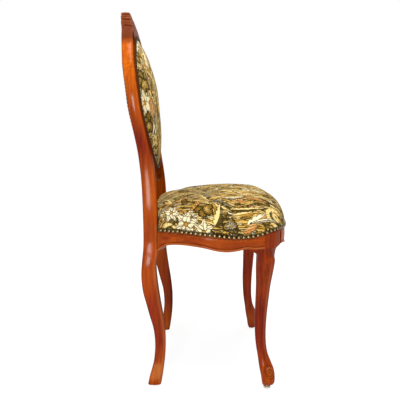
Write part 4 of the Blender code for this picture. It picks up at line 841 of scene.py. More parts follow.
def even_rows(full, rows):
    """Rows of a table moved to even distances down each column, with the distances."""
    steps = np.linalg.norm(np.diff(full, axis=0), axis=2)
    lengths = np.concatenate([np.zeros((1, full.shape[1])), np.cumsum(steps, axis=0)])
    table = np.empty((rows, full.shape[1], 3))
    for column in range(full.shape[1]):
        places = np.linspace(0.0, lengths[-1, column], rows)
        for axis in range(3):
            table[:, column, axis] = np.interp(places, lengths[:, column], full[:, column, axis])
    return table, lengths[-1]


def square_turn(x, y):
    """Ring and place round it from the middle of +y, both 0 to 1, of points in a square from -1 to 1."""
    ring = np.maximum(np.abs(x), np.abs(y))
    safe = np.where(ring > 0, ring, 1.0)
    x, y = x / safe, y / safe
    top = y >= 1 - 1e-9
    right = (x >= 1 - 1e-9) & ~top
    bottom = (y <= -1 + 1e-9) & ~right & ~top
    place = np.where(top, x / 8, np.where(right, 0.25 - y / 8, np.where(bottom, 0.5 - x / 8, 0.75 + y / 8)))
    return ring, place % 1.0


def sampled(table, ring, place):
    """Points of a table of rows and columns at shares of each."""
    rows, columns = table.shape[:2]
    row = np.clip(ring * (rows - 1), 0, rows - 1.001)
    column = place * columns
    low_row, low_column = row.astype(int), column.astype(int) % columns
    to_row = (row - low_row)[:, None]
    to_column = (column - np.floor(column))[:, None]
    next_column = (low_column + 1) % columns
    near = table[low_row, low_column] * (1 - to_column) + table[low_row, next_column] * to_column
    far = table[low_row + 1, low_column] * (1 - to_column) + table[low_row + 1, next_column] * to_column
    return near * (1 - to_row) + far * to_row


def pad_sheet(table, lengths, heading, cells):
    """Square grid laid over a dome, with each point's place in the cloth."""
    bm = bmesh.new()
    bmesh.ops.create_grid(bm, x_segments=cells, y_segments=cells, size=1.0)
    flat = np.array([vert.co[:2] for vert in bm.verts], float)
    ring, place = square_turn(np.round(flat[:, 0] * cells) / cells, np.round(flat[:, 1] * cells) / cells)
    spots = sampled(table, ring, place)
    for vert, spot in zip(bm.verts, spots):
        vert.co = spot
    columns = table.shape[1]
    column = (np.round(place * columns).astype(int)) % columns
    cloth = heading[column] * (ring * lengths[column])[:, None]
    return bm, cloth, ring


def swell(piece, pinned, pressure, cap):
    """Let cloth simulation swell a skin against its pinned points, each kept within a cap, and apply it."""
    start = points_of(piece.data).astype(float)
    group = piece.vertex_groups.new(name="pinned")
    group.add([int(index) for index in np.flatnonzero(pinned)], 1.0, "REPLACE")
    modifier = piece.modifiers.new("swell", "CLOTH")
    settings = modifier.settings
    settings.quality = 6
    settings.mass = 0.25
    settings.tension_stiffness = 18
    settings.compression_stiffness = 12
    settings.shear_stiffness = 6
    settings.bending_stiffness = 2.0
    settings.use_pressure = True
    settings.uniform_pressure_force = pressure
    settings.effector_weights.gravity = 0
    settings.vertex_group_mass = group.name
    modifier.point_cache.frame_start = 1
    modifier.point_cache.frame_end = SWELL_FRAMES
    for number in range(1, SWELL_FRAMES + 1):
        bpy.context.scene.frame_set(number)
    shown = piece.evaluated_get(bpy.context.evaluated_depsgraph_get())
    after = points_of(shown.data).astype(float)
    piece.modifiers.remove(modifier)
    piece.vertex_groups.clear()
    bpy.context.scene.frame_set(1)
    moved = after - start
    length = np.linalg.norm(moved, axis=1)
    moved *= np.minimum(1.0, cap / np.maximum(length, 1e-9))[:, None]
    piece.data.vertices.foreach_set("co", (start + moved).astype(np.float32).ravel())
    piece.data.update()


def refine(piece, levels):
    """Subdivide a piece's surface for good."""
    modifier = piece.modifiers.new("refine", "SUBSURF")
    modifier.levels = levels
    modifier.render_levels = levels
    modifier.boundary_smooth = "PRESERVE_CORNERS"
    shown = piece.evaluated_get(bpy.context.evaluated_depsgraph_get())
    old = piece.data
    piece.data = bpy.data.meshes.new_from_object(shown)
    piece.modifiers.clear()
    bpy.data.meshes.remove(old)


def close_under(piece, rings):
    """Turn a sheet's open edge under through rings of points worked out from the edge, and close it."""
    bm = bmesh.new()
    bm.from_mesh(piece.data)
    edges = [edge for edge in bm.edges if edge.is_boundary]
    for ring in rings:
        grown = bmesh.ops.extrude_edge_only(bm, edges=edges)["geom"]
        edges = [part for part in grown if isinstance(part, bmesh.types.BMEdge)]
        for vert in [part for part in grown if isinstance(part, bmesh.types.BMVert)]:
            vert.co = ring(vert.co)
    bmesh.ops.holes_fill(bm, edges=edges)
    bmesh.ops.recalc_face_normals(bm, faces=bm.faces)
    bm.to_mesh(piece.data)
    bm.free()


# Tapestry
INK = (0.018, 0.013, 0.003)
OLIVE = (0.070, 0.047, 0.008)
MOSS = (0.062, 0.080, 0.020)
GOLD = (0.490, 0.255, 0.034)
STRAW = (0.740, 0.435, 0.085)
CREAM = (0.900, 0.675, 0.265)
IVORY = (0.960, 0.845, 0.540)
TAN = (0.690, 0.350, 0.115)
PEACH = (0.700, 0.280, 0.075)
SLATE = (0.160, 0.138, 0.105)
PEARL = (0.500, 0.410, 0.250)
STROKE_COLOURS = (
    CREAM, STRAW, CREAM, GOLD, STRAW, TAN, IVORY, CREAM, CREAM, OLIVE, PEARL, TAN, IVORY, STRAW,
)
LEAF_TONES = (
    # light half, shaded half, edge
    (CREAM, STRAW, OLIVE), (STRAW, GOLD, OLIVE), (IVORY, STRAW, INK), (GOLD, OLIVE, INK),
    (CREAM, TAN, OLIVE), (STRAW, MOSS, INK), (CREAM, GOLD, OLIVE), (TAN, PEACH, OLIVE), (IVORY, PEARL, INK),
)
LEAF_EDGE = 1.9


def scatter(first, second=0.0):
    """Even spread of values from 0 to 1 out of whole numbers."""
    return np.modf(np.abs(np.sin(first * 12.9898 + second * 78.233) * 43758.5453))[0]


class Cloth:
    """Points of a tapestry with their colours, painted one motif over another; sizes in millimetres."""

    def __init__(self, places):
        self.places = np.asarray(places) * 1000.0
        self.colours = np.tile(np.array(OLIVE), (len(places), 1))

    def near(self, at, reach, turn):
        """Points within reach of a motif, in its own turned frame."""
        offset = self.places - at
        found = np.flatnonzero((np.abs(offset[:, 0]) < reach) & (np.abs(offset[:, 1]) < reach))
        x, y = offset[found, 0], offset[found, 1]
        c, s = math.cos(turn), math.sin(turn)
        return found, x * c + y * s, y * c - x * s

    def lay(self, found, *layers):
        """Colour the found points within masks, one layer over another."""
        for mask, colour in layers:
            self.colours[found[mask]] = colour

    def swirl(self, shift):
        """Distances across and along the swirl that the strokes follow."""
        x, y = self.places[:, 0] + shift, self.places[:, 1] - shift
        across = x + 15 * np.sin(y / 46 + 0.4) + 11 * np.sin(x / 39 - y / 66) + 4 * np.sin(y / 19 + x / 31)
        return across, y + 13 * np.sin(x / 43 + 1.1) + 7 * np.sin(y / 37 - x / 52)

    def hatch(self, shift, pitch, often):
        """Fine dark and pale threads drawn over the motifs along the swirl."""
        across, along = self.swirl(shift)
        lane = np.floor(across / pitch)
        run = along / (pitch * 6.5) + 7 * scatter(lane, 21.0)
        number = np.floor(run)
        pick = scatter(lane, number + 40.0)
        half = 0.46 * np.sin(math.pi * (run - number)) ** 0.5
        line = np.abs(across / pitch - lane - 0.5) < half
        self.colours[line & (pick < often)] *= 0.24
        pale = line & (pick > 1 - 0.8 * often)
        self.colours[pale] = 0.4 * self.colours[pale] + 0.6 * np.array(CREAM)

    def strokes(self, shift, pitch):
        """Ground of long feathered strokes that follow a swirl, light with dark lines between."""
        across, along = self.swirl(shift)
        lane = np.floor(across / pitch)
        length = pitch * (5.5 + 5.0 * scatter(lane))
        run = along / length + 7 * scatter(lane, 3.0)
        number = np.floor(run)
        share = run - number
        side = across / pitch - lane - 0.5
        half = 0.50 * np.sin(math.pi * share) ** 0.40
        picked = (scatter(lane, number) * len(STROKE_COLOURS)).astype(int) % len(STROKE_COLOURS)
        light = np.array(STROKE_COLOURS)[picked]
        body = np.abs(side) < half * 0.72
        shaded = body & (side > half * (0.15 + 0.5 * scatter(lane, number + 9.0)))
        self.colours[body] = light[body]
        self.colours[shaded] = light[shaded] * 0.36
        thin = scatter(lane, number + 5.0) > 0.45
        self.colours[thin & (np.abs(side) < 0.09) & (share > 0.12)] = OLIVE

    def leaf(self, at, turn, length, width, bend, lobes, tones):
        """Curling lobed leaf with a rib, a light and a shaded half, feathered between, and a dark edge."""
        light, shade, line = tones
        found, x, y = self.near(at, length * 1.2, turn)
        share = np.clip(x / length, 0.0, 1.0)
        y = y - bend * length * share ** 2
        half = width / 2 * np.sin(math.pi * share ** 0.75) ** 0.7
        notch = np.abs(np.sin(math.pi * (lobes * share - 0.35 * np.abs(y) / width))) ** 0.7
        half = half * (0.66 + 0.34 * notch)
        within = np.abs(y) / np.maximum(half, 1e-6)
        inside = (within < 1.0) & (x > 0) & (x < length)
        body = inside & (np.abs(y) < half - LEAF_EDGE)
        feather = np.sin((x - 1.1 * np.abs(y)) * 2 * math.pi / 5.2)
        tone = np.where(y >= 0, 0.55, -0.55) + 0.75 * feather * within
        rib = inside & (np.abs(y) < 0.9) & (share < 0.92)
        self.lay(found, (inside, line), (body & (tone >= 0), light), (body & (tone < 0), shade),
                 (body & (tone < -0.85), line), (rib, line))

    def oak(self, at, turn, radius, tones):
        """Dark cluster of rounded leaves with lit middles."""
        light, shade, line = tones
        for number in range(5):
            angle = turn + number * 2 * math.pi / 5
            spot = np.asarray(at) + radius * 0.52 * np.array((math.cos(angle), math.sin(angle)))
            found, x, y = self.near(spot, radius, angle)
            reach, way = np.hypot(x * 0.85, y), np.arctan2(y, x)
            edge = radius * 0.58 * (0.80 + 0.20 * np.abs(np.cos(way * 3.5)))
            lit = (reach < edge * 0.62) & (np.sin(way * 9 + reach) > 0.55)
            self.lay(found, (reach < edge, line), (reach < edge * 0.80, shade), (lit, light))
        found, x, y = self.near(np.asarray(at) - (0.0, radius * 0.30), radius * 0.7, turn)
        reach, way = np.hypot(x * 0.8, y), np.arctan2(y, x)
        lit = (reach < radius * 0.36) & (np.sin(way * 7 + reach * 0.8) > 0.1)
        heart = (reach < radius * 0.20) & (np.sin(way * 5 - reach) > 0.2)
        self.lay(found, (lit, light), (heart, CREAM))

    def lily(self, at, turn, radius, petals, tones):
        """Open flower with long uneven pointed petals, creased and edged in a darker tone."""
        light, shade, line = tones
        for number in range(petals):
            angle = turn + number * 2 * math.pi / petals
            length = radius * (0.80 + 0.35 * float(scatter(number + petals, radius)))
            bend = 0.16 * math.sin(number * 2.4)
            self.leaf(at, angle, length, radius * 0.72, bend, 1.6, (light, light, line))
            found, x, y = self.near(at, length, angle)
            crease = (np.abs(y) < 0.6 + 0.06 * (length - x)) & (x > 0) & (x < length * 0.75)
            self.lay(found, (crease, shade))
        found, x, y = self.near(at, radius * 0.4, turn)
        reach = np.hypot(x, y)
        self.lay(found, (reach < radius * 0.20, line), (reach < radius * 0.14, GOLD))

    def curl(self, at, turn, radius, tones):
        """Broad leaf that curls over a rosette, with a dark arc under it."""
        light, shade, line = tones
        found, x, y = self.near(at, radius * 1.3, turn)
        reach, angle = np.hypot(x, y), np.arctan2(y, x)
        sweep = (angle + math.pi) / (2 * math.pi)
        outer = radius * (0.62 + 0.38 * sweep)
        inner = outer * (0.55 + 0.12 * sweep)
        rays = np.sin(angle * 13 + reach * 0.25)
        band = (reach < outer) & (reach > inner) & (sweep > 0.10)
        body = band & (reach < outer - 1.1) & (reach > inner + 0.8)
        self.lay(found, (band, line), (body, light), (body & (rays > 0.55), shade))
        under = (reach < inner) & (reach > inner * 0.72) & (sweep > 0.35) & (sweep < 0.85)
        self.lay(found, (under, MOSS), (under & (reach > inner * 0.92), INK))
        dots = (np.sin(x * 1.15) * np.sin(y * 1.15) > 0.25) & (reach < inner * 0.58)
        self.lay(found, (reach < inner * 0.70, line), (reach < inner * 0.62, light), (dots, GOLD),
                 (dots & (sweep < 0.35), PEACH), (reach < inner * 0.16, OLIVE))

    def berry(self, at, radius, tones):
        """Small round berry, lit from one side."""
        light, shade, line = tones
        found, x, y = self.near(at, radius, 0.0)
        reach = np.hypot(x, y)
        lit = np.hypot(x + radius * 0.2, y - radius * 0.2) < radius * 0.45
        self.lay(found, (reach < radius, line), (reach < radius * 0.75, shade), (lit, light))

    def threads(self, rng):
        """Uneven dye from thread to thread."""
        tone = 1.0 + 0.14 * (rng.random(len(self.places)) - 0.5)
        self.colours = np.clip(self.colours * tone[:, None], 0.0, 1.0)


def spots(rng, low, high, pitch):
    """Jittered places over a stretch of cloth, in a mixed order."""
    found = []
    for row, y in enumerate(np.arange(low[1], high[1], pitch * 0.87)):
        for x in np.arange(low[0] + (row % 2) * pitch / 2, high[0], pitch):
            found.append((x, y) + rng.uniform(-0.28, 0.28, 2) * pitch)
    rng.shuffle(found)
    return found


def flow(at):
    """Heading of the leaves at a place, so that they follow long swirls."""
    return math.pi / 2 + 0.9 * math.sin(at[0] / 62.0 + 0.6) + 0.8 * math.cos(at[1] / 55.0 - at[0] / 140.0)


def sprays(cloth, rng, scale, low, high):
    """Leaves, berries and larger motifs strewn over the ground."""
    for at in spots(rng, low, high, 38 * scale):
        tones = LEAF_TONES[rng.integers(len(LEAF_TONES))]
        size = rng.uniform(36, 62) * scale
        turn = flow(at) + rng.normal(0.0, 0.30) + math.pi * rng.integers(2)
        lobes = int(rng.integers(3, 6))
        bend = rng.uniform(0.3, 0.9) * (1 - 2 * rng.integers(2))
        cloth.leaf(at, turn, size, size * rng.uniform(0.34, 0.52), bend, lobes, tones)
    for at in spots(rng, low, high, 60 * scale):
        kind = rng.integers(5)
        turn = rng.uniform(0, 6.3)
        if kind < 2:
            cloth.oak(at, turn, rng.uniform(15, 23) * scale, (GOLD, OLIVE, INK))
        elif kind == 3:
            tones = ((IVORY, PEARL, OLIVE), (CREAM, TAN, OLIVE))[rng.integers(2)]
            cloth.lily(at, turn, rng.uniform(17, 25) * scale, int(rng.integers(5, 8)), tones)
        elif kind == 2:
            cloth.curl(at, turn, rng.uniform(19, 28) * scale, (CREAM, STRAW, OLIVE))
        else:
            cloth.lily(at, turn, rng.uniform(14, 18) * scale, 7, (PEARL, SLATE, INK))
    for at in spots(rng, low, high, 46 * scale):
        cloth.berry(at, rng.uniform(2.5, 4.0) * scale, LEAF_TONES[rng.integers(len(LEAF_TONES))])


def seat_border(cloth, side, at):
    """Main motifs along one side of the seat, set out one by one from the rear to the front."""
    for along in (140, 112, 84, 50, 16):
        cloth.leaf(at(278, along), 1.6, 46, 20, 0.25 * side, 5, (MOSS, INK, INK))
    cloth.lily(at(236, 128), 0.4, 33, 6, (IVORY, PEARL, OLIVE))
    cloth.lily(at(262, 86), 1.5, 30, 7, (IVORY, PEARL, OLIVE))
    cloth.lily(at(196, 156), 2.2, 25, 6, (IVORY, PEARL, INK))
    cloth.leaf(at(225, 70), 1.1, 52, 24, side * 0.6, 4, (STRAW, GOLD, OLIVE))
    cloth.oak(at(205, 72), 0.3, 23, (GOLD, OLIVE, INK))
    cloth.leaf(at(252, 52), -0.9, 60, 34, -0.7 * side, 5, (CREAM, OLIVE, INK))
    cloth.oak(at(248, 12), 0.9, 19, (STRAW, OLIVE, INK))
    cloth.lily(at(250, 8), 0.2, 17, 7, (PEARL, SLATE, INK))
    cloth.leaf(at(222, 4), -1.35, 96, 22, 0.10, 8, (CREAM, GOLD, INK))
    cloth.leaf(at(202, 10), -1.45, 104, 18, -0.06, 8, (CREAM, OLIVE, INK))
    cloth.leaf(at(246, -34), -1.2, 66, 32, 0.20, 4, (IVORY, TAN, OLIVE))
    cloth.leaf(at(262, -22), -1.5, 44, 20, 0.35, 4, (TAN, PEACH, OLIVE))
    cloth.curl(at(208, -112), 1.9 if side < 0 else 1.2, 37, (CREAM, STRAW, OLIVE))
    cloth.leaf(at(240, -40), -1.75 if side > 0 else -1.40, 92, 13, 0.04, 1, (IVORY, PEARL, INK))
    cloth.leaf(at(222, -128), -1.3, 50, 24, 0.3 * side, 4, (OLIVE, INK, INK))
    cloth.oak(at(186, -158), 0.4, 21, (STRAW, OLIVE, INK))
    cloth.leaf(at(160, 60), -1.3, 70, 16, 0.2, 6, (CREAM, STRAW, OLIVE))
    cloth.leaf(at(140, -30), -1.8, 74, 15, -0.2, 7, (TAN, PEACH, OLIVE))


def back_border(cloth, side, at):
    """Main motifs along one side of the back's pad, from the top down."""
    cloth.lily(at(78, 128), 1.0, 29, 6, (IVORY, STRAW, INK))
    cloth.oak(at(114, 92), 0.2, 23, (STRAW, OLIVE, INK))
    cloth.leaf(at(60, 60), 0.9, 70, 34, -0.3 * side, 5, (IVORY, CREAM, OLIVE))
    cloth.leaf(at(134, 74), -1.7, 60, 34, 0.2 * side, 4, (IVORY, CREAM, OLIVE))
    cloth.oak(at(116, 20), 0.7, 28, (STRAW, OLIVE, INK))
    cloth.lily(at(128, -36), 0.5, 35, 6, (IVORY, CREAM, OLIVE))
    cloth.leaf(at(92, -20), -1.4, 72, 28, 0.3 * side, 5, (TAN, PEACH, OLIVE))
    cloth.oak(at(116, -86), 0.4, 25, (GOLD, OLIVE, INK))
    cloth.lily(at(84, -128), 1.3, 24, 7, (CREAM, TAN, OLIVE))


def paint_tapestry(piece, places, seed, fabric, border, painted_shade_from=1.0, often=0.06):
    """Leaves, scrolls and flowers of the tapestry, as a colour attribute of a piece's points, with painted
    shade along the cloth's edge.
    """
    rng = np.random.default_rng(seed)
    rings, places = places[:, 2], places[:, :2]
    cloth = Cloth(places)
    scale = fabric.motif_scale
    cloth.strokes(seed * 17.0, 6.2 * scale)
    sprays(cloth, rng, scale, cloth.places.min(0) - 30, cloth.places.max(0) + 30)
    cloth.hatch(seed * 23.0, 2.9 * scale, often)
    for side in (1.0, -1.0) if border else ():
        border(cloth, side, lambda across, along: np.array((side * across, along)))
    cloth.hatch(seed * 29.0, 2.4 * scale, 0.06)
    # painted shade along the seat cover's edge above the nails
    cloth.colours *= (1 - 0.85 * ease(rings, painted_shade_from, painted_shade_from + 0.008))[:, None]
    cloth.threads(rng)
    rgba = np.column_stack([cloth.colours, np.ones(len(places))]).astype(np.float32)
    dye = piece.data.color_attributes.new("tapestry", "FLOAT_COLOR", "POINT")
    dye.data.foreach_set("color", rgba.ravel())
    threads = piece.data.attributes.new("threads", "FLOAT_VECTOR", "POINT")
    flat = np.column_stack([places, np.zeros(len(places))]).astype(np.float32)
    threads.data.foreach_set("vector", flat.ravel())


# Shader nodes
def add_node(tree, kind, values=None, **settings):
    made = tree.nodes.new(kind)
    for name, value in settings.items():
        setattr(made, name, value)
    for name, value in (values or {}).items():
        made.inputs[name].default_value = value
    return made


def feed(tree, socket, value):
    """Link a socket to another, or set it to a number or a colour."""
    if isinstance(value, bpy.types.NodeSocket):
        tree.links.new(value, socket)
    elif isinstance(value, (int, float)):
        socket.default_value = value
    else:
        socket.default_value = (*value[:3], 1.0)


def math_node(tree, operation, first, second=0.0):
    made = add_node(tree, "ShaderNodeMath", operation=operation)
    for socket, value in zip(made.inputs, (first, second)):
        feed(tree, socket, value)
    return made.outputs[0]


def times(tree, first, second):
    return math_node(tree, "MULTIPLY", first, second)


def mix_colour(tree, share, first, second, blend="MIX"):
    made = add_node(tree, "ShaderNodeMix", data_type="RGBA", blend_type=blend)
    for socket, value in ((made.inputs[0], share), (made.inputs[6], first), (made.inputs[7], second)):
        feed(tree, socket, value)
    return made.outputs[2]


def span(tree, value, low, high, new_low=0.0, new_high=1.0):
    """Value moved from one range to another, kept within it."""
    ends = {"From Min": low, "From Max": high, "To Min": new_low, "To Max": new_high}
    made = add_node(tree, "ShaderNodeMapRange", ends)
    tree.links.new(value, made.inputs["Value"])
    return made.outputs["Result"]


def attribute(tree, name, output="Fac"):
    return add_node(tree, "ShaderNodeAttribute", attribute_name=name).outputs[output]


def object_place(tree):
    return add_node(tree, "ShaderNodeTexCoord").outputs["Object"]


def height_of(tree, place):
    parts = add_node(tree, "ShaderNodeSeparateXYZ")
    tree.links.new(place, parts.inputs[0])
    return parts.outputs["Z"]


def noise(tree, vector, scale, detail, roughness):
    made = add_node(tree, "ShaderNodeTexNoise", {"Scale": scale, "Detail": detail, "Roughness": roughness})
    tree.links.new(vector, made.inputs["Vector"])
    return made.outputs["Fac"]


def stretched(tree, vector, scale, turn=(0.0, 0.0, 0.0)):
    made = add_node(tree, "ShaderNodeMapping", {"Scale": scale, "Rotation": turn})
    tree.links.new(vector, made.inputs["Vector"])
    return made.outputs["Vector"]


def made_once(kind):
    """Let a function make its material or node group once, and find it by its name after that."""
    def wrap(make):
        def find(*values):
            name = "_".join((make.__name__, *values))
            found = getattr(bpy.data, kind).get(name)
            return make(name, *values) if found is None else found
        return find
    return wrap


def shader_group(name, inputs, outputs):
    """Node group with a vector input, other inputs and outputs that are numbers, and its end nodes."""
    group = bpy.data.node_groups.new(name, "ShaderNodeTree")
    group.interface.new_socket("Vector", in_out="INPUT", socket_type="NodeSocketVector")
    for way, sockets in (("INPUT", inputs), ("OUTPUT", outputs)):
        for socket in sockets:
            group.interface.new_socket(socket, in_out=way, socket_type="NodeSocketFloat")
    return group, group.nodes.new("NodeGroupInput"), group.nodes.new("NodeGroupOutput")


@made_once("node_groups")
def wood_grain(name):
    """Wood grain along Z: broad figure, dark pores and a height for the bump."""
    group, start, end = shader_group(name, (), ("Figure", "Pores", "Height"))
    vector = start.outputs["Vector"]
    broad = noise(group, stretched(group, vector, (26.0, 26.0, 2.6)), 1.0, 4.0, 0.55)
    bands = noise(group, stretched(group, vector, (150.0, 150.0, 5.0)), 1.0, 3.0, 0.6)
    broad, bands = times(group, broad, 0.40), times(group, bands, 0.60)
    figure = math_node(group, "ADD", broad, bands)
    pores = noise(group, stretched(group, vector, (900.0, 900.0, 30.0)), 1.0, 2.0, 0.5)
    pores = span(group, pores, 0.60, 0.74)
    group.links.new(span(group, figure, 0.38, 0.62), end.inputs["Figure"])
    group.links.new(pores, end.inputs["Pores"])
    group.links.new(math_node(group, "SUBTRACT", figure, pores), end.inputs["Height"])
    return group


@made_once("node_groups")
def cloth_weave(name):
    """Plain weave with a rib, from places in the cloth in metres."""
    group, start, end = shader_group(name, ("Pitch",), ("Height", "Shade"))
    parts = add_node(group, "ShaderNodeSeparateXYZ")
    group.links.new(start.outputs["Vector"], parts.inputs[0])
    turns = math_node(group, "DIVIDE", 2 * math.pi, start.outputs["Pitch"])
    warp = math_node(group, "SINE", times(group, parts.outputs["X"], turns))
    weft = math_node(group, "SINE", times(group, parts.outputs["Y"], turns))
    over = times(group, warp, weft)
    rib = times(group, math_node(group, "ABSOLUTE", weft), 0.6)
    height = span(group, math_node(group, "ADD", over, rib), -1.0, 1.6)
    group.links.new(height, end.inputs["Height"])
    group.links.new(span(group, height, 0.0, 1.0, 0.80, 1.06), end.inputs["Shade"])
    return group


def new_material(name, **sockets):
    """Material with a Principled BSDF, and the values that are the same all over it."""
    material = bpy.data.materials.new(name)
    material.use_nodes = True
    tree = material.node_tree
    shader = tree.nodes["Principled BSDF"]
    for socket, value in sockets.items():
        shader.inputs[socket.replace("_", " ")].default_value = value
    return material, tree, shader


def bump(tree, shader, height, strength, distance):
    """Let a height shape the shader's normal."""
    made = add_node(tree, "ShaderNodeBump", {"Strength": strength, "Distance": distance})
    tree.links.new(height, made.inputs["Height"])
    tree.links.new(made.outputs["Normal"], shader.inputs["Normal"])


GRAIN_TURNS = {
    "upright": (0.0, 0.0, 0.0), "across": (0.0, math.pi / 2, 0.0), "along": (math.pi / 2, 0.0, 0.0),
}


def grained(tree, spot, way):
    """Outputs of the wood's grain, turned to run upright, across or along the chair."""
    grain = add_node(tree, "ShaderNodeGroup", node_tree=wood_grain())
    tree.links.new(stretched(tree, spot, (1.0, 1.0, 1.0), GRAIN_TURNS[way]), grain.inputs["Vector"])
    return grain.outputs


@made_once("materials")
def show_wood(name, way):
    """Lacquered show wood with its grain upright, across or along the chair."""
    finish = bpy.context.scene.chair_finish
    material, tree, shader = new_material(name, Specular_IOR_Level=0.0, Coat_Roughness=0.145)
    spot = object_place(tree)
    grain = grained(tree, spot, way)
    stain = noise(tree, stretched(tree, spot, (16.0, 16.0, 5.0)), 1.0, 2.0, 0.5)
    # the tone attribute mixes the lighter stain with painted light and shade
    rise = math_node(tree, "ADD", attribute(tree, "tone"), span(tree, stain, 0.35, 0.65, -0.08, 0.12))
    light = mix_colour(tree, rise, finish.leg_light, finish.top_light)
    dark = mix_colour(tree, rise, finish.leg_dark, finish.top_dark)
    colour = mix_colour(tree, grain["Figure"], dark, light)
    colour = mix_colour(tree, times(tree, grain["Pores"], 0.35), colour, finish.glaze)
    crest = span(tree, height_of(tree, spot), 0.860, 0.880, 0.0, 0.92)
    colour = mix_colour(tree, crest, colour, finish.crest)
    # dark glaze in carving, pores and seams, with painted shade on inner faces and the ring's front face
    glaze = attribute(tree, "glaze")
    colour = mix_colour(tree, times(tree, glaze, 0.75), colour, finish.glaze)
    # rubbed finish, with painted highlights on the legs' edges and the rear feet
    rub = noise(tree, spot, 18.0, 4.0, 0.6)
    worn = times(tree, attribute(tree, "worn"), span(tree, rub, 0.3, 0.65, 0.35, 0.9))
    colour = mix_colour(tree, worn, colour, finish.worn)
    tree.links.new(colour, shader.inputs["Base Color"])
    tree.links.new(span(tree, rub, 0.3, 0.7, 0.24, 0.40), shader.inputs["Roughness"])
    tree.links.new(span(tree, glaze, 0.0, 0.6, 0.22, 0.0), shader.inputs["Coat Weight"])
    bump(tree, shader, grain["Height"], 0.10, 0.0006)
    return material


def woven(tree, threads, pitch):
    """Outputs of the weave at a pitch."""
    weave = add_node(tree, "ShaderNodeGroup", {"Pitch": pitch}, node_tree=cloth_weave())
    tree.links.new(threads, weave.inputs["Vector"])
    return weave.outputs


@made_once("materials")
def tapestry_cloth(name):
    """Woven tapestry: painted colours, shading of the threads and fuzz."""
    material, tree, shader = new_material(name, Roughness=0.9, Specular_IOR_Level=0.05)
    dye = attribute(tree, "tapestry", "Color")
    threads = attribute(tree, "threads", "Vector")
    weave = woven(tree, threads, bpy.context.scene.chair_fabric.thread_pitch)
    shade = add_node(tree, "ShaderNodeCombineColor")
    for socket in shade.inputs:
        tree.links.new(weave["Shade"], socket)
    colour = mix_colour(tree, 1.0, dye, shade.outputs[0], "MULTIPLY")
    fuzz = noise(tree, threads, 900.0, 2.0, 0.6)
    colour = mix_colour(tree, span(tree, fuzz, 0.45, 0.75, 0.0, 0.14), colour, STRAW)
    tree.links.new(colour, shader.inputs["Base Color"])
    bump(tree, shader, weave["Height"], 0.45, 0.0006)
    return material


@made_once("materials")
def antique_bronze(name):
    """Nail heads: bright on the crown with a painted highlight that is partly rubbed metal, brown where the
    rim meets the cloth.
    """
    finish = bpy.context.scene.chair_finish
    material, tree, shader = new_material(name, Metallic=1.0)
    patina = noise(tree, object_place(tree), 420.0, 4.0, 0.6)
    share = times(tree, attribute(tree, "crown"), span(tree, patina, 0.25, 0.6, 0.55, 1.0))
    tree.links.new(mix_colour(tree, share, finish.nail_rim, finish.nail_crown), shader.inputs["Base Color"])
    tree.links.new(span(tree, patina, 0.3, 0.7, 0.22, 0.38), shader.inputs["Roughness"])
    bump(tree, shader, patina, 0.08, 0.0004)
    return material


def thread_material(name, light, dark, pitch):
    """Plain woven or spun stuff."""
    material, tree, shader = new_material(name, Roughness=0.92, Specular_IOR_Level=0.2, Sheen_Weight=0.1)
    spot = object_place(tree)
    slub = noise(tree, spot, 260.0, 4.0, 0.6)
    height = woven(tree, spot, pitch)["Height"]
    share = times(tree, height, span(tree, slub, 0.3, 0.7, 0.4, 1.0))
    tree.links.new(mix_colour(tree, share, dark, light), shader.inputs["Base Color"])
    bump(tree, shader, share, 0.5, 0.0008)
    return material


@made_once("materials")
def plain_beech(name):
    """Bare beech of the inside joinery."""
    finish = bpy.context.scene.chair_finish
    material, tree, shader = new_material(name, Roughness=0.62, Specular_IOR_Level=0.3)
    grain = grained(tree, object_place(tree), "across")
    colour = mix_colour(tree, grain["Figure"], finish.beech_dark, finish.beech_light)
    colour = mix_colour(tree, times(tree, grain["Pores"], 0.5), colour, finish.beech_dark)
    tree.links.new(colour, shader.inputs["Base Color"])
    bump(tree, shader, grain["Height"], 0.2, 0.0006)
    return material


@made_once("materials")
def screw_steel(name):
    """Zinc-plated steel with fine turning marks."""
    material, tree, shader = new_material(name, Metallic=1.0)
    marks = noise(tree, stretched(tree, object_place(tree), (900.0, 900.0, 200.0)), 1.0, 3.0, 0.6)
    colour = mix_colour(tree, marks, (0.42, 0.42, 0.43), (0.66, 0.66, 0.65))
    tree.links.new(colour, shader.inputs["Base Color"])
    tree.links.new(span(tree, marks, 0.3, 0.7, 0.25, 0.45), shader.inputs["Roughness"])
    return material


@made_once("materials")
def moulded_glide(name):
    """Pale moulded glide, scuffed underneath."""
    material, tree, shader = new_material(name, Specular_IOR_Level=0.4)
    spot = object_place(tree)
    scuff = noise(tree, spot, 380.0, 4.0, 0.65)
    worn = times(tree, span(tree, height_of(tree, spot), 0.0, 0.003, 1.0, 0.0), scuff)
    colour = mix_colour(tree, worn, (0.72, 0.66, 0.56), (0.34, 0.28, 0.21))
    tree.links.new(colour, shader.inputs["Base Color"])
    tree.links.new(span(tree, scuff, 0.3, 0.7, 0.35, 0.6), shader.inputs["Roughness"])
    return material


# Settings
def colour_property(name, description, default):
    return FloatVectorProperty(
        name=name, description=description, default=default, subtype="COLOR", min=0.0, max=1.0)


def length_property(name, description, default, **limits):
    return FloatProperty(name=name, description=description, default=default, unit="LENGTH", **limits)


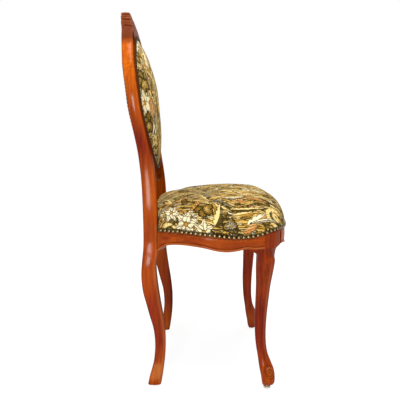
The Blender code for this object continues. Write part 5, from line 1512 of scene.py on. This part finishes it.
class ChairFinish(PropertyGroup):
    """Colours of the wood and the metal."""

    top_light: colour_property("Back, light", "Light grain of the wood of the back", (0.640, 0.138, 0.002))
    top_dark: colour_property("Back, dark", "Dark grain of the wood of the back", (0.400, 0.066, 0.001))
    leg_light: colour_property("Legs, light", "Light grain of the wood of the legs", (0.255, 0.020, 0.0005))
    leg_dark: colour_property("Legs, dark", "Dark grain of the wood of the legs", (0.105, 0.004, 0.0002))
    crest: colour_property("Crest", "Deeper stain on the carved crest", (0.125, 0.020, 0.003))
    # colour of the dark glaze, also used for painted shade
    glaze: colour_property("Glaze", "Dark glaze left in pores and carving", (0.045, 0.008, 0.001))
    # rubbed finish colour, also used for painted highlights on the legs' edges and the rear feet
    worn: colour_property("Rubbed edge", "Wood where the finish is rubbed thin", (0.460, 0.150, 0.035))
    # painted highlight on the nail crowns, partly rubbed metal
    nail_crown: colour_property("Nail crown", "Rubbed crown of the nail heads", (0.620, 0.430, 0.190))
    nail_rim: colour_property("Nail rim", "Antiqued rim of the nail heads", (0.060, 0.036, 0.012))
    beech_light: colour_property("Beech, light", "Light grain of the bare beech", (0.640, 0.450, 0.260))
    beech_dark: colour_property("Beech, dark", "Dark grain of the bare beech", (0.460, 0.290, 0.150))


class ChairFabric(PropertyGroup):
    """Sizes of the tapestry."""

    motif_scale: FloatProperty(
        name="Motif scale", description="Size of the leaves and flowers", default=1.0, min=0.3, max=3.0)
    thread_pitch: length_property(
        "Thread pitch", "Distance between ribs of the weave", 0.0016, min=0.0004, max=0.01)
    seat_seed: IntProperty(name="Seat layout", description="Layout of the motifs on the seat", default=11)
    back_seed: IntProperty(name="Back layout", description="Layout of the motifs on the back", default=23)
    rear_seed: IntProperty(
        name="Outside layout", description="Layout of the motifs on the outside back", default=37)


class ChairNailing(PropertyGroup):
    """Sizes of the close nailing."""

    head: length_property("Nail head", "Diameter of a nail head", 0.0102)
    rise: length_property("Nail rise", "Height of a nail head", 0.0036)
    pitch: length_property("Nail pitch", "Distance between nails", 0.0117)


# Pieces
def wooden(node, table, way, sharp, more=None, **shades):
    """Piece of show wood from a table of sections, with a second skin in one with it if given."""
    bm = skin(table)
    if more is not None:
        skin(more, bm=bm)
    finished("show_" + node, layered(bm, table, **shades), show_wood(way), [node], sharp)


def covered(name, node, bm, cloth, rings, levels, swelling):
    """Tapestry pad from a sheet, swelled if asked and refined, with its places in the cloth."""
    pad = finished(name, bm, tapestry_cloth(), [node], 180.0)
    layer = pad.data.attributes.new("cloth", "FLOAT_VECTOR", "POINT")
    layer.data.foreach_set("vector", np.column_stack([cloth, rings]).astype(np.float32).ravel())
    if swelling:
        held_from, pressure, cap = swelling
        swell(pad, rings > held_from, pressure, cap)
    refine(pad, levels)
    places = np.zeros(len(pad.data.vertices) * 3, np.float32)
    pad.data.attributes["cloth"].data.foreach_get("vector", places)
    pad.data.attributes.remove(pad.data.attributes["cloth"])
    return pad, places.reshape(-1, 3)


class CHAIR_OT_rear_legs(Operator):
    """Rear legs with the posts and the sides of the oval"""

    bl_idname = "chair.rear_legs"
    bl_label = "Rear legs"

    def execute(self, context):
        table, shades = rear_leg_table()
        for name, side in SIDES:
            wooden("rear_leg_" + name, mirrored(table, side), "upright", sharp=50.0, **shades)
        return {"FINISHED"}


class CHAIR_OT_front_legs(Operator):
    """Cabriole front legs with their corner blocks"""

    bl_idname = "chair.front_legs"
    bl_label = "Front legs"

    def execute(self, context):
        table, shades = front_leg_table()
        bracket = knee_bracket_table()
        for name, side in SIDES:
            turned = mirrored(bracket, side)
            wooden("front_leg_" + name, mirrored(table, side), "upright", sharp=28.0, more=turned, **shades)
        return {"FINISHED"}


class CHAIR_OT_seat_rails(Operator):
    """Bowed and scalloped rails of the seat"""

    bl_idname = "chair.seat_rails"
    bl_label = "Seat rails"

    def execute(self, context):
        rear_end = share_where(1, POST_FRONT_Y - GAP)
        front_end = share_where(1, LEG_JOINT_Y + GAP)
        between = np.linspace(rear_end + 0.002, front_end - 0.002, 110)
        table, shades = rail_table(np.concatenate([[rear_end], between, [front_end]]))
        for name, side in SIDES:
            turned = mirrored(table, side)
            wooden("side_rail_" + name, turned, "along", sharp=40.0, tone=SIDE_RAIL_TONE, **shades)
        half, shades = rail_table(np.linspace(share_where(0, LEG_INNER_X - GAP, front=True), 1.0, 70))
        shades["glaze"][-1] = shades["glaze"][-2]
        table = np.concatenate([half, mirrored(half, -1.0)[-2::-1]])
        shades = {name: np.concatenate([values, values[-2::-1]]) for name, values in shades.items()}
        wooden("front_rail", table, "across", sharp=40.0, tone=FRONT_RAIL_TONE, **shades)
        self.rear_rail()
        return {"FINISHED"}

    def rear_rail(self):
        rear = POST_REAR_Y - REAR_RAIL_SETBACK
        front = rear - REAR_RAIL_THICKNESS
        end = POST_INNER_X - GAP
        ledge = RAIL_TOP - REAR_NAIL_LINE - LEDGE_BELOW_NAILS
        table = []
        for x in np.linspace(-end, end, 61):
            low = RAIL_TOP - REAR_RAIL_HEIGHT + REAR_RAIL_ARCH * (1 - (x / end) ** 2)
            corner = (rear - REAR_RAIL_ROUND, low + REAR_RAIL_ROUND)
            section = [(front, low), *arc(corner, REAR_RAIL_ROUND, -90, 0, 7)]
            section += [(rear + FACE_BULGE / 2, (low + ledge) / 2), (rear, ledge)]
            section += [(rear, RAIL_TOP - RAIL_TOP_BEVEL), (rear - RAIL_TOP_BEVEL, RAIL_TOP)]
            section.append((front, RAIL_TOP))
            table.append([(x, y, z) for y, z in section])
        wooden("rear_rail", np.array(table), "across", sharp=40.0, tone=FRONT_RAIL_TONE)


class CHAIR_OT_back_ring(Operator):
    """Carved crest and lower rail of the oval back"""

    bl_idname = "chair.back_ring"
    bl_label = "Crest and lower rail"

    def execute(self, context):
        start = math.asin((CREST_JOINT_Z - OVAL_CENTRE_Z) / OVAL_HALF_HEIGHT) - JOINT_OVERLAP
        side = np.linspace(start, CARVED_FROM, 60)
        top = np.linspace(CARVED_FROM, CARVED_TO, 361)[1:]
        angles = np.concatenate([side, top, (math.pi - side)[-2::-1]])
        table, shades = ring_table(angles, carved=True)
        bm = layered(skin(table), table, tone=CREST_TONE, **shades)
        cut_level(bm, (0.0, 0.0, CREST_JOINT_Z + GAP / 2), (0.0, 0.0, -1.0))
        finished("carved_crest", bm, show_wood("across"), ["crest_rail"], 60.0)
        start = -math.acos(LOWER_JOINT_X / OVAL_HALF_WIDTH) + JOINT_OVERLAP
        table, shades = ring_table(np.linspace(start, -math.pi - start, 120), carved=False)
        bm = layered(skin(table), table, tone=LOWER_RAIL_TONE, **shades)
        for side in (1.0, -1.0):
            cut_level(bm, (side * (LOWER_JOINT_X - GAP), 0.0, 0.0), (side, 0.0, 0.0))
        finished("show_lower_rail", bm, show_wood("across"), ["lower_back_rail"], 60.0)
        return {"FINISHED"}


class CHAIR_OT_seat_pad(Operator):
    """Domed seat in tapestry"""

    bl_idname = "chair.seat_pad"
    bl_label = "Seat pad"

    def execute(self, context):
        fabric = context.scene.chair_fabric
        (table, lengths), heading = seat_dome(COVER_OUT, 0.020)
        bm, cloth, rings = pad_sheet(table, lengths, heading, 128)
        cloth[:, 1] += CROWN_Y - PATTERN_Y
        pad, places = covered("tapestry_seat", "seat_cover", bm, cloth, rings, 2, SEAT_SWELLING)
        paint_tapestry(pad, places, fabric.seat_seed, fabric, seat_border, 0.966, 0.18)
        self.turn_under(pad)
        return {"FINISHED"}

    def turn_under(self, pad):
        """Thin skirt outside the rails, then a flat underside above them."""
        middle = Vector((0.0, CROWN_Y))
        level = RAIL_TOP + 2 * GAP

        def inwards(distance, height=None):
            def move(spot):
                away = Vector(spot[:2]) - middle
                place = middle + away * (1 - distance / away.length)
                return Vector((*place, height or spot[2]))
            return move

        close_under(pad, [inwards(0.0018), inwards(0.0004, level), inwards(0.012, level)])


class CHAIR_OT_back_pads(Operator):
    """Oval pad of the back and the panel behind it"""

    bl_idname = "chair.back_pads"
    bl_label = "Back pad and outside back"

    def execute(self, context):
        fabric = context.scene.chair_fabric
        base = FRONT_FACE + FRONT_REBATE - 0.0045
        pad = self.oval_pad("tapestry_back", "back_cover", base, -1.0, BACK_CROWN, 64, 2, fabric.back_seed)
        base = REAR_FACE - REAR_REBATE + 0.0030
        outside = self.oval_pad(
            "tapestry_outside_back", "outside_back", base, 1.0, OUTSIDE_CROWN, 72, 1, fabric.rear_seed)
        return {"FINISHED"}

    def oval_pad(self, name, node, base, way, crown, cells, levels, seed):
        """Oval skin raised from a base depth, forwards or backwards."""
        columns, rows = 480, 90
        angle = np.pi / 2 - 2 * np.pi * np.arange(columns) / columns
        edge = TRIM_WIDTH * 0.55
        half = np.array((PANEL_HALF_WIDTH - edge, PANEL_HALF_HEIGHT - edge))
        ring = half * np.stack([np.cos(angle), np.sin(angle)], axis=1)
        centre = np.array((0.0, BACK_CROWN_RISE if way < 0 else 0.0))
        share = np.linspace(0.0, 1.0, 100)[:, None, None]
        plan = centre + (ring - centre) * share
        rise = crown * np.maximum(1 - share[..., 0] ** 2.0, 0.0) ** 0.86 + 0 * plan[..., 0]
        z = OVAL_CENTRE_Z + plan[..., 1]
        y = back_y(z.ravel()).reshape(z.shape) + base + way * rise
        table, lengths = even_rows(np.stack([plan[..., 0], y, z], axis=2), rows)
        heading = (ring - centre) / np.linalg.norm(ring - centre, axis=1)[:, None]
        bm, cloth, rings = pad_sheet(table, lengths, heading * np.array((-way, 1.0)), cells)
        swelling, border = (BACK_SWELLING, back_border) if way < 0 else (None, None)
        pad, places = covered(name, node, bm, cloth, rings, levels, swelling)
        paint_tapestry(pad, places, seed, bpy.context.scene.chair_fabric, border)
        close_under(pad, [lambda spot: spot + Vector((0.0, -way * COVER_THICKNESS, 0.0))])
        return pad


class CHAIR_OT_nailing(Operator):
    """Close nailing round the seat"""

    bl_idname = "chair.nailing"
    bl_label = "Close nailing"

    def execute(self, context):
        nailing = context.scene.chair_nailing
        rng = np.random.default_rng(5)
        corner = share_where(0, LEG_INNER_X, front=True)
        first = share_where(1, POST_FRONT_Y - NAILS_FROM_POST)
        side = self.spaced(np.linspace(first, corner, 400), nailing.pitch)
        front = self.spaced(np.linspace(corner, 1.0, 200), nailing.pitch, tail=True)
        for name, sign in SIDES:
            turned = [(spot * (sign, 1, 1), way * (sign, 1, 1)) for spot, way in side]
            self.drive(name, turned, nailing, rng)
        both = front + [(spot * (-1, 1, 1), way * (-1, 1, 1)) for spot, way in front[:-1]]
        self.drive("front", both, nailing, rng)
        rear = POST_REAR_Y - REAR_RAIL_SETBACK + COVER_OUT
        end = POST_INNER_X - REAR_NAILS_FROM_POST
        level = RAIL_TOP - REAR_NAIL_LINE
        row = np.linspace(-end, end, round(2 * end / nailing.pitch) + 1)
        backwards = np.array((0.0, 1.0, 0.0))
        self.drive("rear", [(np.array((x, rear, level)), backwards) for x in row], nailing, rng)
        return {"FINISHED"}

    def spaced(self, shares, pitch, tail=False):
        """Places and headings of nails at a pitch along the cover's lower edge."""
        points = np.column_stack([plan_at(shares, COVER_OUT), nail_height(shares)])
        lengths = lengths_along(points)
        count = round(lengths[-1] / pitch)
        places = (np.arange(count) + 0.5) * lengths[-1] / count
        if tail:
            places = np.append((np.arange(count) + 0.5) * lengths[-1] / (count + 0.5), lengths[-1])
            places = places[:count] if abs(places[count - 1] - lengths[-1]) < pitch / 3 else places
        normals = plan_normal(np.interp(places, lengths, shares))
        found = between(places, lengths, points)
        return [(spot, np.array((*normal, 0.0))) for spot, normal in zip(found, normals)]

    def drive(self, name, places, nailing, rng):
        """Domed heads at places, each a little out of true."""
        bm = bmesh.new()
        crown = bm.verts.layers.float.new("crown")
        for spot, way in places:
            way = Vector(way) + Vector(rng.normal(0.0, 0.05, 3))
            turn = way.to_track_quat("Z", "Y").to_matrix().to_4x4()
            head = bmesh.ops.create_uvsphere(bm, u_segments=12, v_segments=8, radius=1.0)["verts"]
            below = [vert for vert in head if vert.co.z < -0.4]
            bmesh.ops.delete(bm, geom=below, context="VERTS")
            head = [vert for vert in head if vert.is_valid]
            size = nailing.head / 2 * rng.uniform(0.96, 1.03)
            for vert in head:
                # painted highlight at the top of each head, partly rubbed metal
                vert[crown] = float(ease(vert.co.z, 0.86, 0.99))
                height = max(vert.co.z, 0.0) * nailing.rise
                vert.co = (vert.co.x * size, vert.co.y * size, height if vert.co.z > -0.1 else -0.0004)
            base = spot + np.array((0.0, 0.0, rng.normal(0.0, 0.0003)))
            bmesh.ops.transform(bm, matrix=Matrix.Translation(base) @ turn, verts=head)
        bmesh.ops.holes_fill(bm, edges=[edge for edge in bm.edges if edge.is_boundary])
        finished("nails_seat_" + name, bm, antique_bronze(), ["seat_nailing_" + name], 60.0)


class CHAIR_OT_back_trim(Operator):
    """Twisted trim round the front and rear of the back's upholstery"""

    bl_idname = "chair.back_trim"
    bl_label = "Back trim"

    def execute(self, context):
        cord = thread_material("trim_cord", (0.060, 0.034, 0.012), (0.016, 0.009, 0.003), 0.0011)
        self.ring("trim_back_front", FRONT_FACE + FRONT_REBATE - 0.0046, -1.0, cord, "back_trim_front")
        self.ring("trim_back_rear", REAR_FACE - REAR_REBATE + 0.0040, 1.0, cord, "back_trim_rear")
        return {"FINISHED"}

    def ring(self, name, base, way, material, node):
        """Two-ply cord laid round the panel's edge."""
        steps, sides, twists = 720, 14, 118
        middle = TRIM_WIDTH / 2
        table = np.empty((steps, sides, 3))
        for row in range(steps):
            angle = 2 * math.pi * row / steps
            turn = 2 * math.pi * np.arange(sides) / sides
            ply = 1 + 0.20 * np.cos(2 * (turn - twists * angle / 2))
            out = np.cos(turn) * ply * middle
            depth = base + way * (0.0031 + np.sin(turn) * ply * 0.0027)
            x = (PANEL_HALF_WIDTH - middle + out) * math.cos(angle)
            z = OVAL_CENTRE_Z + (PANEL_HALF_HEIGHT - middle + out) * math.sin(angle)
            table[row] = np.column_stack([x, back_y(z) + depth, z])
        bm = skin(np.concatenate([table, table[:1]]), ends=False)
        finished(name, bm, material, [node], 180.0)


class CHAIR_OT_glides(Operator):
    """Turned glides under the feet"""

    bl_idname = "chair.glides"
    bl_label = "Foot glides"

    def execute(self, context):
        for leg in ("front", "rear"):
            for name, _ in SIDES:
                node = "%s_glide_%s" % (leg, name)
                low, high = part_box(node)
                middle = (low + high) / 2
                radius = (high.x - low.x) / 2
                profile = [(radius * share, height) for share, height in GLIDE_PROFILE]
                profile.append((GLIDE_PIN, profile[-1][1]))
                profile += [(GLIDE_PIN - 0.0001, high.z - 0.001), (0.0, high.z)]
                turn = np.linspace(0.0, 2 * math.pi, 40, endpoint=False)
                table = np.empty((len(profile), len(turn), 3))
                for row, (out, height) in zip(table, profile):
                    row[:, 0] = middle.x + out * np.cos(turn)
                    row[:, 1] = middle.y + out * np.sin(turn)
                    row[:, 2] = height
                bm = skin(table, ends=False)
                finished("glide_%s_%s" % (leg, name), bm, moulded_glide(), [node], 30.0)
        return {"FINISHED"}


class CHAIR_OT_under_upholstery(Operator):
    """Webbing, hessian, stuffing and dust cover"""

    bl_idname = "chair.under_upholstery"
    bl_label = "Under the covers"

    def execute(self, context):
        jute = thread_material("jute_weave", (0.560, 0.420, 0.220), (0.270, 0.180, 0.080), 0.0030)
        hair = thread_material("hair_stuffing", (0.300, 0.230, 0.150), (0.090, 0.060, 0.035), 0.0042)
        cambric = thread_material("black_cambric", (0.040, 0.038, 0.036), (0.012, 0.011, 0.010), 0.0012)
        for way in ("along", "across"):
            for number in (1, 2, 3):
                self.sheet("webbing_%s_%d" % (way, number), jute, "jute", 0.010)
        self.sheet("seat_hessian", jute, "jute", 0.020)
        self.sheet("back_hessian", jute, "jute", 0.030)
        self.sheet("dust_cover", cambric, "cambric", 0.020)
        self.copied("back_stuffing", hair, "stuffing", 0.022, 0.0080)
        self.seat_filling(hair)
        return {"FINISHED"}

    def seat_filling(self, material):
        """Stuffing that follows the dressed seat some way below its cover."""
        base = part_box("seat_stuffing")[0].z
        table = seat_dome(-0.010, 0.030, 180, 36)[0][0][1:]
        table[..., 2] = base + np.maximum(table[..., 2] - base, 0.0) * 0.84
        keep = int(np.argmax(table[..., 2].max(1) < base + 0.006)) or len(table)
        table = table[:keep]
        table[-1, :, 2] = base
        return finished("soft_seat_stuffing", skin(table), material, ["seat_stuffing"], 40.0)

    def copied(self, node, material, slot, cell, inset=0.0):
        """Finer copy of a hidden solid with softened facets."""
        bm = bmesh.new()
        bm.from_mesh(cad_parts[node].data)
        bmesh.ops.remove_doubles(bm, verts=bm.verts, dist=1e-6)
        bmesh.ops.dissolve_limit(bm, angle_limit=math.radians(1.0), verts=bm.verts, edges=bm.edges)
        bmesh.ops.triangulate(bm, faces=bm.faces)
        long_edges = [edge for edge in bm.edges if edge.calc_length() > cell]
        bmesh.ops.subdivide_edges(bm, edges=long_edges, cuts=2, use_grid_fill=True)
        bm.normal_update()
        for vert in bm.verts:
            vert.co -= vert.normal * inset
            vert.co.y += float(back_set(vert.co.z)[0]) if node.startswith("back_") else 0.0
        return finished("soft_" + node, bm, material, [node], 40.0)

    def sheet(self, node, material, slot, cell):
        """Finer copy of a cloth that is stretched flat."""
        piece = self.copied(node, material, slot, cell)
        area = sum(face.area for face in piece.data.polygons) / 2
        low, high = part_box(node)
        size = high - low
        width, length = sorted((size.x, max(size.y, size.z)))
        area = min(area, width * length)


class CHAIR_OT_joinery(Operator):
    """Finishes of the blocks, dowels and screws"""

    bl_idname = "chair.joinery"
    bl_label = "Inside joinery"

    def execute(self, context):
        for name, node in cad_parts.items():
            if "corner_block" in name or "dowel" in name:
                self.dress(node, plain_beech())
            elif "screw" in name:
                self.dress(node, screw_steel())
        return {"FINISHED"}

    def dress(self, node, material):
        node.data.materials.clear()
        node.data.materials.append(material)


class CHAIR_OT_stage(Operator):
    """Floor, light and camera"""

    bl_idname = "chair.stage"
    bl_label = "Stage"

    def execute(self, context):
        self.floor()
        self.world(context.scene)
        for lamp in LAMPS:
            self.lamp(*lamp)
        camera = bpy.data.cameras.new("camera")
        camera.lens = CAMERA_LENS
        camera.sensor_width = CAMERA_SENSOR
        turn = (math.pi / 2 - CAMERA_PITCH, 0.0, -math.pi / 2)
        context.scene.camera = self.placed("camera", camera, CAMERA_PLACE, turn)
        context.scene.view_settings.view_transform = "Standard"
        return {"FINISHED"}

    def placed(self, name, data, place=(0.0, 0.0, 0.0), turn=(0.0, 0.0, 0.0)):
        """Object that holds some data at a place."""
        holder = bpy.data.objects.new(name, data)
        holder.location = place
        holder.rotation_euler = turn
        bpy.context.scene.collection.objects.link(holder)
        return holder

    def lamp(self, name, place, wide, tall, power):
        lamp = bpy.data.lights.new(name, "AREA")
        lamp.energy = power
        lamp.shape = "RECTANGLE"
        lamp.size = wide
        lamp.size_y = tall
        aim = Vector(LAMP_AIM) - Vector(place)
        self.placed(name, lamp, place, aim.to_track_quat("-Z", "Y").to_euler())

    def floor(self):
        bm = bmesh.new()
        bmesh.ops.create_grid(bm, x_segments=1, y_segments=1, size=8.0)
        mesh = bpy.data.meshes.new("floor")
        bm.to_mesh(mesh)
        bm.free()
        material, tree, shader = new_material("pale_floor", Roughness=0.9, Specular_IOR_Level=0.1)
        shader.inputs["Base Color"].default_value = (0.86, 0.86, 0.86, 1.0)
        glow = add_node(tree, "ShaderNodeEmission", {"Color": WHITE, "Strength": FLOOR_GLOW})
        share = times(tree, self.seen(tree), FLOOR_GLOW_SHARE)
        self.mix(tree, share, shader, glow, "Material Output")
        mesh.materials.append(material)
        floor = self.placed("floor", mesh)

    def seen(self, tree):
        """1 for rays that show the background: from the camera, in gloss and through glass."""
        path = add_node(tree, "ShaderNodeLightPath")
        glossy = math_node(tree, "MAXIMUM", path.outputs["Is Camera Ray"], path.outputs["Is Glossy Ray"])
        return math_node(tree, "MAXIMUM", glossy, path.outputs["Is Transmission Ray"])

    def mix(self, tree, share, first, second, output):
        """Let two shaders feed an output by a share."""
        mixed = add_node(tree, "ShaderNodeMixShader")
        sources = (share, first.outputs[0], second.outputs[0])
        for socket, source in zip(mixed.inputs, sources):
            tree.links.new(source, socket)
        tree.links.new(mixed.outputs[0], tree.nodes[output].inputs["Surface"])

    def world(self, scene):
        world = bpy.data.worlds.new("studio")
        scene.world = world
        world.use_nodes = True
        tree = world.node_tree
        light = tree.nodes["Background"]
        light.inputs["Color"].default_value = WHITE
        light.inputs["Strength"].default_value = DAYLIGHT
        white = add_node(tree, "ShaderNodeBackground", {"Color": WHITE, "Strength": 1.0})
        self.mix(tree, self.seen(tree), light, white, "World Output")


OPERATORS = (
    CHAIR_OT_rear_legs, CHAIR_OT_front_legs, CHAIR_OT_seat_rails, CHAIR_OT_back_ring, CHAIR_OT_seat_pad,
    CHAIR_OT_back_pads, CHAIR_OT_nailing, CHAIR_OT_back_trim, CHAIR_OT_glides, CHAIR_OT_under_upholstery,
    CHAIR_OT_joinery, CHAIR_OT_stage,
)


class CHAIR_PT_pieces(Panel):
    """Buttons for the chair's pieces, in the order in which they are made"""

    bl_idname = "CHAIR_PT_pieces"
    bl_label = "Side chair"
    bl_space_type = "VIEW_3D"
    bl_region_type = "UI"
    bl_category = "Chair"

    def draw(self, context):
        for operator in OPERATORS:
            self.layout.operator(operator.bl_idname)
        scene = context.scene
        for settings in (scene.chair_finish, scene.chair_fabric, scene.chair_nailing):
            for name in settings.__annotations__:
                self.layout.prop(settings, name)


CLASSES = (ChairFinish, ChairFabric, ChairNailing, *OPERATORS, CHAIR_PT_pieces)


def register():
    for part in CLASSES:
        bpy.utils.register_class(part)
    bpy.types.Scene.chair_finish = PointerProperty(type=ChairFinish)
    bpy.types.Scene.chair_fabric = PointerProperty(type=ChairFabric)
    bpy.types.Scene.chair_nailing = PointerProperty(type=ChairNailing)


def unregister():
    del bpy.types.Scene.chair_nailing
    del bpy.types.Scene.chair_fabric
    del bpy.types.Scene.chair_finish
    for part in reversed(CLASSES):
        bpy.utils.unregister_class(part)


def main():
    register()
    for operator in OPERATORS:
        group, name = operator.bl_idname.split(".")
        getattr(getattr(bpy.ops, group), name)()


if __name__ == "__main__":
    main()
